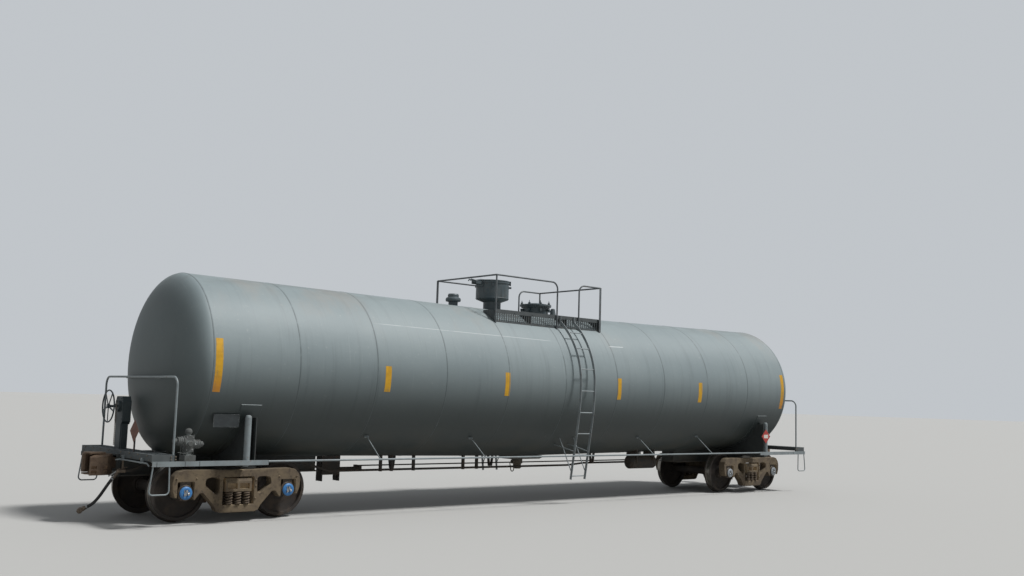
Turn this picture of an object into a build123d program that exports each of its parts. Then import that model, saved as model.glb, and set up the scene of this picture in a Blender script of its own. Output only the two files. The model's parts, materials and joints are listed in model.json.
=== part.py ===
from build123d import *
import math
import os

# Railway tank car, full size, in millimetres.
# X runs along the car, +X is the plain end and -X the hand brake end, +Z is up.
# The origin is under the middle of the car, at the height of the wheel flange tips.
# End pieces are modelled at the +X end, and the -X end is the same piece turned about Z.

# Wheels and axles
tread_radius = 457.2
flange_height = 25.4
axle_height = tread_radius + flange_height
back_to_back = 1360.0
rim_width = 145.0
flange_width = 33.0
rim_depth = 62.0
plate_thickness = 24.0
plate_dish = 42.0
hub_radius = 136.0
axle_radius = 84.0
seat_radius = 96.0
journal_radius = 78.6
journal_length = 150.0
cap_radius = 102.0
cap_depth = 45.0
running_gap = 0.05
wheelbase = 1778.0
journal_spacing = 2007.0
bearing_radius = 126.0

# Tank
tank_radius = 1514.0
tank_slope = 0.72
tank_mid_axis = 2417.0
shell_half = 7620.0
head_depth = 500.0
pad_thickness = 12.0
seat_gap = 0.3

# Underframe
truck_centres = 13740.0
truck_x = truck_centres / 2
sill_inner = 163.5
sill_web = 19.0
sill_outer = sill_inner + sill_web
sill_bottom = 700.0
sill_flange = 20.0
sill_flange_reach = 90.0
sill_start = 4950.0
sill_cover_top = 1043.0
cover_thickness = 16.0
centre_plate_radius = 178.0
centre_plate_depth = 20.0
bolster_half = 60.0
bolster_web = 16.0
bolster_flange = 20.0
bolster_low = sill_bottom + sill_flange + bolster_flange + 0.3
bolster_flange_half = 80.0
bolster_end = 1480.0
bolster_high = 900.0
bolster_knee = 850.0
bolster_top = 1670.0
column_radius = 52.0
column_offset = 70.0
column_top = 1710.0
side_sill_outer = 1530.0
side_sill_top = 1000.0
side_sill_depth = 75.0
side_sill_wall = 10.0
side_sill_start = 6600.0
jack_pad = 150.0
jack_pad_y = 1350.0
jack_pad_depth = 20.0

# End platform, couplers and brake pipe
platform_end = shell_half + 880.0
platform_inner = platform_end - 350.0
platform_top = 1100.0
striker_thickness = 50.0
striker_face = platform_end + 30.0
pulling_face = platform_end + 400.0
coupler_height = 902.0
coupler_pin_x = pulling_face - 840.0
coupler_pin_radius = 44.0
coupler_half_height = 140.0
shank_half_width = 65.0
shank_half_height = 82.5
knuckle_pin_x = pulling_face - 65.0
knuckle_pin_y = -133.0
knuckle_pin_radius = 20.6
knuckle_hub_radius = 60.0
knuckle_hub_half = 97.0
pipe_radius = 21.0
pipe_side = 330.0
pipe_height = 870.0
pipe_end_height = 790.0
pipe_end = platform_end - 60.0
mid_pipe_side = 250.0
mid_pipe_height = 700.0
rod_side = 180.0
rod_height = 755.0
rod_thickness = 13.0
hose_radius = 24.0
post_radius = 17.0
post_side = 1482.5
post_x = platform_inner + 20.0
end_rail_height = 2270.0

# Ladder and side handrails
ladder_x = 490.0
ladder_half = 205.0
stile_thickness = 10.0
stile_depth = 56.0
ladder_radius = 1640.0
ladder_lower_radius = 5000.0
ladder_bend = 1650.0
ladder_foot = 500.0
rung_radius = 11.0
side_rail_y = 1520.0
side_rail_height = 982.0
side_rail_radius = 16.0
brace_radius = 9.0
brace_places = [-4450.0, -2080.0, 2700.0, 4740.0]
brace_angle = 137.0

# Top platform
walk_half = 1500.0
walk_inner = 600.0
walk_outer = 950.0
walk_top = 3865.0
walk_depth = 35.0
toe_thickness = 6.0
grating_pitch = 60.0
rail_height = 4560.0
rail_y = 973.0
rail_radius = 17.0
rail_opening_start = 200.0
rail_opening_end = 840.0


def block(x0, x1, y0, y1, z0, z1):
    """Box between two corners."""
    return Pos((x0 + x1) / 2, (y0 + y1) / 2, (z0 + z1) / 2) * Box(abs(x1 - x0), abs(y1 - y0), abs(z1 - z0))


def rod_x(x0, x1, y, z, radius):
    """Round bar along X."""
    return Pos((x0 + x1) / 2, y, z) * Rot(0, 90, 0) * Cylinder(radius, abs(x1 - x0))


def rod_y(x, y0, y1, z, radius):
    """Round bar along Y."""
    return Pos(x, (y0 + y1) / 2, z) * Rot(90, 0, 0) * Cylinder(radius, abs(y1 - y0))


def rod_z(x, y, z0, z1, radius):
    """Round bar along Z."""
    return Pos(x, y, (z0 + z1) / 2) * Cylinder(radius, abs(z1 - z0))


def plate_xz(points, y0, y1):
    """Flat plate whose outline lies in X and Z."""
    face = make_face(Polyline(*[(x, 0, z) for x, z in points], close=True))
    solid = extrude(face, amount=abs(y1 - y0), dir=(0, 1, 0))
    return Pos(0, min(y0, y1), 0) * solid


def plate_yz(points, x0, x1):
    """Flat plate whose outline lies in Y and Z."""
    face = make_face(Polyline(*[(0, y, z) for y, z in points], close=True))
    solid = extrude(face, amount=abs(x1 - x0), dir=(1, 0, 0))
    return Pos(min(x0, x1), 0, 0) * solid


def plate_xy(points, z0, z1):
    """Flat plate whose outline lies in X and Y."""
    face = make_face(Polyline(*[(x, y, 0) for x, y in points], close=True))
    solid = extrude(face, amount=abs(z1 - z0), dir=(0, 0, 1))
    return Pos(0, 0, min(z0, z1)) * solid


def rounded_plate(points, y0, y1):
    """Flat plate in X and Z with rounded corners, from x, z and corner radius."""
    face = make_face(Polyline(*[(x, z) for x, z, radius in points], close=True))
    for x, z, radius in points:
        if radius:
            corner = face.vertices().sort_by_distance((x, z))[0]
            face = fillet(corner, radius)
    return Pos(0, max(y0, y1), 0) * Rot(90, 0, 0) * extrude(face, amount=abs(y1 - y0))


def turned_z(points, x=0.0, y=0.0):
    """Solid of revolution about a vertical line, from radius and height pairs."""
    face = make_face(Polyline(*[(r, 0, z) for r, z in points], close=True))
    return Pos(x, y, 0) * revolve(face, Axis.Z)


def turned_y(points, x=0.0, z=0.0):
    """Solid of revolution about a line along Y, from radius and y pairs."""
    face = make_face(Polyline(*[(r, y, 0) for r, y in points], close=True))
    return Pos(x, 0, z) * revolve(face, Axis.Y)


def pipe(points, radius, bends):
    """Round pipe along straight runs joined by bends."""
    if len(points) > 2:
        path = FilletPolyline(*points, radius=bends)
    else:
        path = Line(*points)
    section = Plane(origin=path @ 0, z_dir=path % 0) * Circle(radius)
    return sweep(section, path=path)


def both_sides(shape):
    """The shape and its mirror image across the XZ plane."""
    return [shape, mirror(shape, Plane.XZ)]


def turn(shape):
    """The shape at the other end of the car."""
    return Rot(0, 0, 180) * shape


def fuse(shapes):
    """One shape from many."""
    first = shapes[0]
    rest = shapes[1:]
    return first + rest if rest else first


def save(name, shapes):
    """Write one node from its solids."""
    solids = []
    for shape in shapes:
        solids.extend(shape.solids())
    whole = Compound(children=solids) if len(solids) > 1 else solids[0]
    whole.label = name
    export_step(whole, "parts/" + name + ".step")
    print(name, len(solids), "solids")


def tank_axis(x):
    """Height of the tank's axis at a place along the car."""
    return tank_mid_axis + math.tan(math.radians(tank_slope)) * abs(x)


def tank_form(extra):
    """The tank's outside grown by a distance, both halves sloping up from the middle."""
    outline = [
        Line((-200, 0), (-200, tank_radius + extra)),
        Line((-200, tank_radius + extra), (shell_half, tank_radius + extra)),
        EllipticalCenterArc((shell_half, 0), head_depth + extra, tank_radius + extra, start_angle=0, arc_size=90),
        Line((shell_half + head_depth + extra, 0), (-200, 0)),
    ]
    half = revolve(make_face(Wire(outline)), Axis.X)
    half = Pos(0, 0, tank_mid_axis) * Rot(0, -tank_slope, 0) * half
    reach = 3 * tank_radius
    half = half - block(-reach, 0, -reach, reach, -reach, tank_mid_axis + reach)
    return half + mirror(half, Plane.YZ)


tank_skin = tank_form(0)
tank_seat = tank_form(seat_gap)
pad_skin = tank_form(seat_gap + pad_thickness)
pad_seat = tank_form(2 * seat_gap + pad_thickness)


def tank():
    """The tank itself, closed, with its two elliptical heads."""
    return [tank_skin]


def tank_pads():
    """Saddle pad over each body bolster and the long pad over each stub sill."""
    pad_half = 178.0
    pad_angle = math.radians(65)
    sill_pad_half = 300.0
    reach = 1.45 * tank_radius
    axis = tank_axis(truck_x)
    side = reach * math.sin(pad_angle)
    wedge = [
        (0, axis),
        (side, axis - reach * math.cos(pad_angle)),
        (side, sill_bottom),
        (-side, sill_bottom),
        (-side, axis - reach * math.cos(pad_angle)),
    ]
    zone = plate_yz(wedge, truck_x - pad_half, truck_x + pad_half)
    zone = zone + block(sill_start - 60, shell_half + 160, -sill_pad_half, sill_pad_half, sill_bottom, 1300)
    pad = (zone & pad_skin) - tank_seat
    return [pad, turn(pad)]


def stub_sill():
    """Stub sill at one end: webs, flanges, cover, centre plate, striker, carrier and draft pin."""
    end = striker_face - striker_thickness
    parts = []
    for side in (-1, 1):
        parts.append(block(sill_start, end, side * sill_inner, side * sill_outer, sill_bottom, sill_cover_top))
        reach = sill_outer + sill_flange_reach
        parts.append(block(sill_start, end, side * sill_inner, side * reach, sill_bottom, sill_bottom + sill_flange))
    parts.append(block(sill_start, sill_start + 16, -sill_inner, sill_inner, sill_bottom, sill_cover_top))
    cover_half = sill_outer + 48
    cover_bottom = sill_cover_top - cover_thickness
    parts.append(block(shell_half + 80, end, -cover_half, cover_half, cover_bottom, sill_cover_top))
    gear_floor = sill_bottom + sill_flange
    parts.append(block(truck_x - 300, truck_x + 300, -sill_outer, sill_outer, sill_bottom, gear_floor))
    parts.append(block(shell_half - 220, coupler_pin_x + 130, -sill_outer, sill_outer, sill_bottom, gear_floor))
    parts.append(rod_z(truck_x, 0, sill_bottom - centre_plate_depth, gear_floor, centre_plate_radius))
    parts.append(rod_z(coupler_pin_x, 0, sill_bottom, sill_cover_top, coupler_pin_radius))
    striker_half = sill_outer + 48
    striker = block(end, striker_face, -striker_half, striker_half, sill_bottom - 10, sill_cover_top)
    window_low = coupler_height - shank_half_height - 32
    striker = striker - block(end - 1, striker_face + 1, -sill_inner, sill_inner, window_low, cover_bottom - 10)
    parts.append(striker)
    carrier_top = coupler_height - shank_half_height - 5
    parts.append(block(end - 110, end, -sill_inner, sill_inner, carrier_top - 26, carrier_top))
    return fuse(parts) - pad_seat


def bolster_line(y):
    """Height of the body bolster's underside at a distance from the centre line."""
    if y > bolster_knee:
        return bolster_high - bolster_flange
    share = (y - sill_outer) / (bolster_knee - sill_outer)
    return bolster_low - bolster_flange + share * (bolster_high - bolster_low)


def body_bolster(side):
    """Half of a body bolster: two webs, lower flange, outer column, side bearing and jacking pad."""
    inner = sill_outer
    web_end = bolster_end - bolster_flange
    outline = [
        (inner, bolster_low),
        (bolster_knee, bolster_high),
        (web_end, bolster_high),
        (web_end, bolster_top),
        (inner, bolster_top),
    ]
    parts = []
    for place in (-1, 1):
        middle = truck_x + place * bolster_half
        parts.append(plate_yz(outline, middle - bolster_web / 2, middle + bolster_web / 2))
    flange = [
        (inner, bolster_line(inner)),
        (bolster_knee, bolster_high - bolster_flange),
        (bolster_end, bolster_high - bolster_flange),
        (bolster_end, bolster_high),
        (bolster_knee, bolster_high),
        (inner, bolster_low),
    ]
    parts.append(plate_yz(flange, truck_x - bolster_flange_half, truck_x + bolster_flange_half))
    heel = block(truck_x - bolster_half, truck_x + column_offset, web_end - 10, bolster_end, bolster_high, side_sill_top)
    parts.append(heel)
    column = [
        (0, bolster_high),
        (column_radius, bolster_high),
        (column_radius, column_top - 40),
        (column_radius - 8, column_top - 16),
        (column_radius - 26, column_top - 3),
        (0, column_top),
    ]
    parts.append(turned_z(column, truck_x + column_offset, bolster_end - column_radius))
    bearing_y = 635.0
    bearing_half = 70.0
    bearing = [
        (bearing_y - bearing_half, bolster_line(bearing_y - bearing_half)),
        (bearing_y - bearing_half, 746),
        (bearing_y + bearing_half, 746),
        (bearing_y + bearing_half, bolster_line(bearing_y + bearing_half)),
    ]
    parts.append(plate_yz(bearing, truck_x - 110, truck_x + 110))
    pad_low = bolster_high - bolster_flange - jack_pad_depth
    half = jack_pad / 2
    parts.append(
        block(truck_x - half, truck_x + half, jack_pad_y - half, jack_pad_y + half, pad_low, bolster_high - 5)
    )
    whole = fuse(parts) - pad_seat
    pipe_hole = rod_x(truck_x - 200, truck_x + 200, pipe_side, pipe_height, pipe_radius + 8)
    if side < 0:
        return mirror(whole, Plane.XZ)
    return whole - pipe_hole


def body_bolsters():
    """Both halves of the body bolster at both ends."""
    pair = [body_bolster(1), body_bolster(-1)]
    return pair + [turn(shape) for shape in pair]


def end_platform():
    """End platform: end beam, inner beam, side plates and the grating between them."""
    low = sill_cover_top
    side = side_sill_outer - 30
    parts = [
        block(platform_end - 10, platform_end, -side, side, low, platform_top),
        block(platform_end - 60, platform_end, -side, side, platform_top - 8, platform_top),
        block(platform_inner, platform_inner + 8, -side, side, low, platform_top),
        block(platform_inner, platform_inner + 40, -side, side, platform_top - 8, platform_top),
    ]
    for face in (-1, 1):
        parts.append(
            block(platform_inner, platform_end, face * (side - 35), face * side, side_sill_top, platform_top)
        )
        drop = sill_outer + 60
        parts.append(block(platform_end - 10, platform_end, face * drop, face * side, side_sill_top, low))
    bars = 12
    pitch = (platform_end - platform_inner - 100) / bars
    for step in range(bars + 1):
        x = platform_inner + 40 + step * pitch
        parts.append(block(x - 3, x + 3, -side + 35, side - 35, platform_top - 30, platform_top - 4))
    for y in (-1050, -525, 0, 525, 1050):
        parts.append(
            block(platform_inner + 8, platform_end - 10, y - 4, y + 4, platform_top - 45, platform_top - 12)
        )
    return fuse(parts)


def side_sills():
    """Light side sill from the body bolster out to the end platform, at each corner."""
    outer = side_sill_outer
    low = side_sill_top - side_sill_depth
    web = block(side_sill_start, platform_end, outer - side_sill_wall, outer, low, side_sill_top)
    top = side_sill_top - side_sill_wall
    flange = block(side_sill_start, platform_end, bolster_end, outer, top, side_sill_top)
    lower = block(side_sill_start, platform_end, outer - 40, outer, low, low + side_sill_wall)
    whole = web + flange + lower
    pair = both_sides(whole)
    return pair + [turn(shape) for shape in pair]


def sill_steps():
    """Sill step at each corner: one bent round bar below the side sill."""
    top = side_sill_top - side_sill_depth
    tread = 510.0
    y = side_sill_outer - 20
    outer = platform_end - 22
    inner = platform_end - 274
    points = [(outer, y, top), (outer + 50, y, tread), (inner - 14, y, tread), (inner, y, top)]
    step = pipe(points, rung_radius, [60, 60]) - block(inner - 100, outer + 100, y - 50, y + 50, top, top + 60)
    pair = both_sides(step)
    return pair + [turn(shape) for shape in pair]


def end_handrail():
    """End handrail: two posts and a cross rail in front of the tank's head, held by two brackets."""
    points = [
        (post_x, -post_side, platform_top),
        (post_x, -post_side, end_rail_height),
        (post_x, post_side, end_rail_height),
        (post_x, post_side, platform_top),
    ]
    rail = pipe(points, post_radius, [140, 140])
    for y in (-600, 600):
        bracket = block(shell_half + 400, post_x, y - 6, y + 6, end_rail_height - 25, end_rail_height + 10)
        rail = rail + (bracket - tank_seat)
    return rail


def side_handrails():
    """Long handrail along each side."""
    run = [(-side_sill_start, side_rail_y, side_rail_height), (side_sill_start, side_rail_y, side_rail_height)]
    return both_sides(pipe(run, side_rail_radius, []))


def handrail_braces():
    """Slanting braces from each side handrail up to a foot plate on the tank."""
    shapes = []
    angle = math.radians(brace_angle)
    for x in brace_places:
        axis = tank_axis(x)
        inside = tank_radius - 30
        foot = (x, inside * math.sin(angle), axis + inside * math.cos(angle))
        bar = pipe([(x, side_rail_y, side_rail_height), foot], brace_radius, [])
        y = tank_radius * math.sin(angle)
        z = axis + tank_radius * math.cos(angle)
        plate = Pos(x, y, z) * Rot(brace_angle - 184, 0, 0) * Box(90, 70, 20)
        rail_space = rod_x(x - 100, x + 100, side_rail_y, side_rail_height, side_rail_radius + seat_gap)
        shapes.extend(both_sides(bar + plate - tank_seat - rail_space))
    return shapes


def ladder_y(z):
    """Distance of the ladder's middle line from the centre line at a height."""
    axis = tank_axis(ladder_x)
    if z >= axis:
        return math.sqrt(ladder_radius**2 - (z - axis) ** 2)
    arc = ladder_radius - ladder_lower_radius
    if z >= ladder_bend:
        return arc + math.sqrt(ladder_lower_radius**2 - (z - axis) ** 2)
    drop = axis - ladder_bend
    root = math.sqrt(ladder_lower_radius**2 - drop**2)
    return arc + root - (ladder_bend - z) * drop / root


def ladder_stiles():
    """Two side bars of each ladder, following the tank, with braces in to the tank."""
    axis = tank_axis(ladder_x)
    top = 3738.0
    foot = (ladder_y(ladder_foot), ladder_foot)
    knee = (ladder_y(ladder_bend), ladder_bend)
    waist = (ladder_radius, axis)
    head = (ladder_y(top), top)
    mid_low = (ladder_y((ladder_bend + axis) / 2), (ladder_bend + axis) / 2)
    mid_high = (ladder_y((axis + top) / 2), (axis + top) / 2)
    shapes = []
    for place in (-1, 1):
        x = ladder_x + place * (ladder_half - stile_thickness / 2)
        runs = [
            Line((x, foot[0], foot[1]), (x, knee[0], knee[1])),
            ThreePointArc((x, knee[0], knee[1]), (x, mid_low[0], mid_low[1]), (x, waist[0], waist[1])),
            ThreePointArc((x, waist[0], waist[1]), (x, mid_high[0], mid_high[1]), (x, head[0], head[1])),
        ]
        path = Wire(runs)
        section = Plane(origin=path @ 0, x_dir=(1, 0, 0), z_dir=path % 0) * Rectangle(stile_thickness, stile_depth)
        stile = sweep(section, path=path)
        edge = walk_outer + toe_thickness + seat_gap
        tip = block(x - stile_thickness / 2, x + stile_thickness / 2, edge, 1003, 3715, walk_top)
        stile = stile + tip
        bars = [
            ((x, ladder_y(1070), 1070), (x, 850, tank_axis(x) - 1225)),
            ((x, ladder_y(640), 640), (x, 1047, tank_axis(x) - 1094)),
        ]
        for start, end in bars:
            bar = pipe([start, end], 10, [])
            stile = stile + (bar - tank_seat)
        shapes.extend(both_sides(stile))
    return shapes


def ladder_rungs():
    """Rungs between the side bars."""
    inner = ladder_half - stile_thickness
    shapes = []
    for z in (570, 1000, 1430, 1860, 2300, 2745, 3175, 3510):
        rung = rod_x(ladder_x - inner, ladder_x + inner, ladder_y(z), z, rung_radius)
        shapes.extend(both_sides(rung))
    return shapes


def top_platform():
    """Walkway on each side of the fittings: frame, grating, toe board, side grille and end brackets."""
    low = walk_top - walk_depth
    shapes = []
    parts = [
        block(-walk_half, walk_half, walk_outer - 6, walk_outer, low, walk_top),
        block(-walk_half, walk_half, walk_inner, walk_inner + 6, low, walk_top),
        block(-walk_half, walk_half, walk_outer, walk_outer + toe_thickness, walk_top - 70, walk_top + 8),
    ]
    count = int(2 * walk_half / grating_pitch)
    for step in range(count + 1):
        x = -walk_half + 4 + step * (2 * walk_half - 8) / count
        parts.append(block(x - 4, x + 4, walk_inner + 6, walk_outer - 6, walk_top - 26, walk_top))
    for y in (walk_inner + 90, walk_inner + 175, walk_inner + 260):
        parts.append(block(-walk_half, walk_half, y - 3, y + 3, walk_top - 30, walk_top - 4))
    for step in range(count):
        x = -walk_half + (step + 0.5) * 2 * walk_half / count
        parts.append(block(x - 9, x + 9, walk_outer - 6, walk_outer, 3560, low))
    parts.append(block(-walk_half, walk_half, walk_outer - 50, walk_outer, 3560, 3640))
    for x in (-walk_half + 5, -500, 500, walk_half - 5):
        parts.append(block(x - 5, x + 5, 20, walk_outer, 3560, low))
    near = fuse(parts) - tank_seat
    shapes.extend(both_sides(near))
    return shapes


def top_handrails():
    """Rails round the top platform, open on each side at the ladder."""
    shapes = []
    foot = 3500.0
    loops = [
        (-walk_half + rail_radius, rail_opening_start),
        (walk_half - rail_radius, rail_opening_end),
    ]
    for corner, end in loops:
        parts = [rod_y(corner, -rail_y, rail_y, rail_height, rail_radius)]
        for side in (-1, 1):
            y = side * rail_y
            parts.append(rod_z(corner, y, foot, rail_height + 6, rail_radius))
            run = [(corner, y, rail_height), (end, y, rail_height), (end, y, foot)]
            parts.append(pipe(run, rail_radius, [150]))
        shapes.append(fuse(parts) - tank_seat)
    return shapes


bonnet_x = -775.0
bonnet_radius = 445.0
bonnet_wall = 10.0
bonnet_base = 4180.0
bonnet_depth = 350.0
bonnet_rim = bonnet_base + bonnet_depth
bonnet_neck = 235.0
neck_top = bonnet_base - 75
bonnet_hinge_x = bonnet_x - bonnet_radius - 40


def bonnet_housing():
    """Protective housing over the valves: neck, cone and open drum with hinge ears."""
    outline = [
        (0, 3800),
        (bonnet_neck, 3800),
        (bonnet_neck, neck_top),
        (bonnet_radius, bonnet_base),
        (bonnet_radius, bonnet_rim),
        (bonnet_radius - bonnet_wall, bonnet_rim),
        (bonnet_radius - bonnet_wall, bonnet_base + bonnet_wall),
        (bonnet_neck - bonnet_wall, neck_top + bonnet_wall),
        (0, neck_top + bonnet_wall),
    ]
    whole = turned_z(outline, bonnet_x, 0) - tank_seat
    for y in (-70, 70):
        ear = block(bonnet_hinge_x - 22, bonnet_x - bonnet_radius + 20, y - 10, y + 10, bonnet_rim - 70, bonnet_rim - 2)
        whole = whole + (ear - rod_z(bonnet_x, 0, neck_top, bonnet_rim + 100, bonnet_radius - bonnet_wall))
    pin = rod_y(bonnet_hinge_x, -80, 80, bonnet_rim - 24, 9)
    return [whole + pin]


def bonnet_lid():
    """Hinged lid: shallow dome with a turned down rim, hinge knuckle behind and latch eye in front."""
    rim = bonnet_rim + 4
    crown = rim + 46
    outline = [
        (0, rim + 26),
        (bonnet_radius - 60, rim + 8),
        (bonnet_radius - 60, rim),
        (bonnet_radius + 12, rim),
        (bonnet_radius + 12, rim + 22),
        (bonnet_radius - 40, rim + 30),
        (bonnet_radius - 190, crown - 6),
        (0, crown),
    ]
    lid = turned_z(outline, bonnet_x, 0)
    hinge_z = bonnet_rim - 24
    barrel = rod_y(bonnet_hinge_x, -54, 54, hinge_z, 20)
    arm = [
        (bonnet_hinge_x - 18, hinge_z),
        (bonnet_hinge_x - 12, rim + 20),
        (bonnet_x - bonnet_radius + 50, rim + 24),
        (bonnet_x - bonnet_radius + 50, rim + 4),
        (bonnet_hinge_x + 18, rim + 2),
        (bonnet_hinge_x + 18, hinge_z),
    ]
    lid = lid + barrel + plate_xz(arm, -45, 45)
    lid = lid - rod_y(bonnet_hinge_x, -90, 90, hinge_z, 9 + running_gap)
    front = bonnet_x + bonnet_radius
    latch = block(front, front + 52, -35, 35, rim - 60, rim + 16) - block(front - 1, front + 20, -40, 40, rim - 80, rim)
    eye = rod_y(front + 36, -40, 40, rim - 40, 8)
    return [lid + (latch - eye)]


def loading_valves():
    """Three valves standing on the plate inside the housing."""
    base = neck_top + bonnet_wall
    outline = [
        (0, base),
        (75, base),
        (75, base + 24),
        (42, base + 24),
        (42, base + 120),
        (70, base + 120),
        (70, base + 200),
        (30, base + 240),
        (0, base + 240),
    ]
    places = [(110, 0), (-60, 105), (-60, -105)]
    return [turned_z(outline, bonnet_x + dx, dy) for dx, dy in places]


manway_x = 470.0
manway_nozzle_radius = 280.0
manway_top = 4120.0
manway_cover_radius = 345.0


def manway_nozzle():
    """Manway nozzle with its flange and the eyebolt lugs round it."""
    outline = [
        (0, 3800),
        (manway_nozzle_radius, 3800),
        (manway_nozzle_radius, manway_top - 30),
        (manway_nozzle_radius + 35, manway_top - 30),
        (manway_nozzle_radius + 35, manway_top),
        (0, manway_top),
    ]
    whole = turned_z(outline, manway_x, 0)
    for step in range(8):
        lug = Rot(0, 0, 22.5 + 45 * step) * block(manway_nozzle_radius - 5, 345, -22, 22, 4010, 4060)
        whole = whole + Pos(manway_x, 0, 0) * lug
    return [whole - tank_seat]


def manway_cover():
    """Bolted manway cover with slotted rim and upright eyebolts."""
    outline = [
        (0, manway_top),
        (manway_cover_radius, manway_top),
        (manway_cover_radius, manway_top + 34),
        (manway_nozzle_radius - 30, manway_top + 44),
        (manway_nozzle_radius - 110, manway_top + 66),
        (0, manway_top + 70),
    ]
    whole = turned_z(outline, manway_x, 0)
    for step in range(8):
        angle = 22.5 + 45 * step
        nut = turned_z([(0, 4150), (24, 4150), (24, 4190), (9, 4196), (5, 4236), (0, 4236)], 318, 0)
        whole = whole + Pos(manway_x, 0, 0) * Rot(0, 0, angle) * nut
    hinge = block(manway_x + 320, manway_x + 400, -60, 60, manway_top + 4, manway_top + 60)
    hinge = hinge - rod_y(manway_x + 370, -70, 70, manway_top + 32, 16)
    return [whole + hinge]


def relief_valve():
    """Pressure relief valve behind the platform: neck, bolted flange and cap."""
    outline = [
        (0, 3800),
        (95, 3800),
        (95, 4030),
        (150, 4042),
        (158, 4072),
        (150, 4104),
        (112, 4130),
        (112, 4172),
        (100, 4196),
        (0, 4204),
    ]
    return [turned_z(outline, -1810, 0) - tank_seat]


def vacuum_valve():
    """Small cone-shaped vacuum valve between the manway and the near walkway."""
    shapes = []
    outline = [(0, 3700), (62, 3700), (62, 3890), (70, 3910), (44, 4050), (30, 4062), (0, 4064)]
    shapes.append(turned_z(outline, manway_x + 110, -440) - tank_seat)
    return shapes


def outlet_valve():
    """Bottom outlet valve on its skid, with the outlet cap and the loop of its handle."""
    low = tank_axis(0) - tank_radius
    skid = [
        (-330, low + 6),
        (-330, low - 36),
        (-220, low - 62),
        (560, low - 62),
        (650, low - 36),
        (650, low + 6),
    ]
    body = plate_xz(skid, -150, 150)
    body = body + turned_z(
        [(0, low - 50), (112, low - 50), (112, low - 150), (86, low - 170), (86, low - 252), (62, low - 268), (0, low - 268)],
        60,
        0,
    )
    body = body + rod_x(-90, 10, 0, low - 120, 44)
    loop = [(-60, 0, low - 120), (-150, 0, low - 130), (-110, 0, low - 300), (-40, 0, low - 390), (-30, 0, low - 240)]
    body = body + pipe(loop, 10, [40, 60, 40])
    return [body - tank_seat]


def brake_pipe():
    """Train pipe from angle cock to angle cock, crossing under the tank's middle."""
    drop_start = pipe_end - 290
    drop_end = pipe_end - 110
    half = [
        (drop_end, pipe_end_height),
        (drop_start, pipe_height),
    ]
    points = [(-pipe_end, -pipe_side, pipe_end_height)]
    points.extend((-x, -pipe_side, z) for x, z in half)
    points.extend(
        [
            (-5300, -pipe_side, pipe_height),
            (-4700, -mid_pipe_side, mid_pipe_height),
            (1300, -mid_pipe_side, mid_pipe_height),
            (2300, mid_pipe_side, mid_pipe_height),
            (4700, mid_pipe_side, mid_pipe_height),
            (5300, pipe_side, pipe_height),
        ]
    )
    points.extend((x, pipe_side, z) for x, z in reversed(half))
    points.append((pipe_end, pipe_side, pipe_end_height))
    return [pipe(points, pipe_radius, [150] * (len(points) - 2))]


# Hose route from the angle cock: distance past the end beam, side and height
hose_steps = [
    (115.0, 318.0, 687.0),
    (173.0, 296.0, 595.0),
    (226.0, 262.0, 489.0),
    (270.0, 215.0, 392.0),
    (318.0, 165.0, 308.0),
    (364.0, 118.0, 254.0),
    (412.0, 72.0, 222.0),
]
hose_route = [(platform_end + x, y, z) for x, y, z in hose_steps]
cock_length = 140.0


def unit(a, b):
    """Unit vector from one point to another."""
    return (Vector(*b) - Vector(*a)).normalized()


def angle_cock():
    """Angle cock and nipple that the air hose hangs from, on its bracket behind the end beam."""
    z = pipe_end_height
    body = rod_x(pipe_end, platform_end + 46, pipe_side, z, 34)
    back = platform_end - 26
    body = body + block(back, platform_end - 10, pipe_side - 22, pipe_side + 22, z, platform_top - 8)
    body = body + block(pipe_end - 30, platform_end, pipe_side - 8, pipe_side + 8, z + 46, z + 58)
    body = body + rod_z(platform_end - 30, pipe_side, z, z + 50, 14)
    exit_point = Vector(*hose_route[0])
    along = unit(hose_route[0], hose_route[1])
    start = exit_point - along * cock_length
    nipple = Plane(origin=start, z_dir=along) * Pos(0, 0, cock_length / 2) * Cylinder(27, cock_length)
    nut = Plane(origin=exit_point - along * 36, z_dir=along) * Pos(0, 0, 18) * Cylinder(33, 36)
    grip = [(platform_end + 20, z + 28), (platform_end + 190, z - 86), (platform_end + 196, z - 72), (platform_end + 26, z + 42)]
    handle = plate_xz(grip, pipe_side - 4, pipe_side + 16)
    return body + nipple + nut + handle


def brake_hose():
    """Air hose, a round tube along its route."""
    radii = []
    for i in range(1, len(hose_route) - 1):
        a = Vector(*hose_route[i]) - Vector(*hose_route[i - 1])
        b = Vector(*hose_route[i + 1]) - Vector(*hose_route[i])
        half_turn = math.radians(a.get_angle(b)) / 2
        radii.append(0.45 * min(a.length, b.length) / math.tan(half_turn))
    print("hose radii", [round(value) for value in radii])
    path = FilletPolyline(*hose_route, radius=radii)
    section = Plane(origin=path @ 0, z_dir=path % 0) * Circle(hose_radius)
    tube = sweep(section, path=path)
    print("hose length", round(path.length), "volume share", round(tube.volume / (path.length * math.pi * hose_radius**2), 4))
    return tube


def gladhand():
    """Coupling head on the hose's far end: ferrule, body and flat coupling face."""
    last = hose_route[-1]
    along = unit(hose_route[-2], last)
    frame = Plane(origin=last, z_dir=along, x_dir=(0, 1, 0))
    ferrule = frame * Pos(0, 0, 24) * Cylinder(30, 48)
    body = frame * Pos(4, 0, 66) * Box(56, 62, 64)
    head = frame * Pos(18, 0, 98) * Rot(0, 90, 0) * Cylinder(42, 56)
    return ferrule + body + head


def from_face(pairs):
    """Points whose first value is measured from the coupler's pulling face."""
    return [(pulling_face + x, y) for x, y in pairs]


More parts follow.
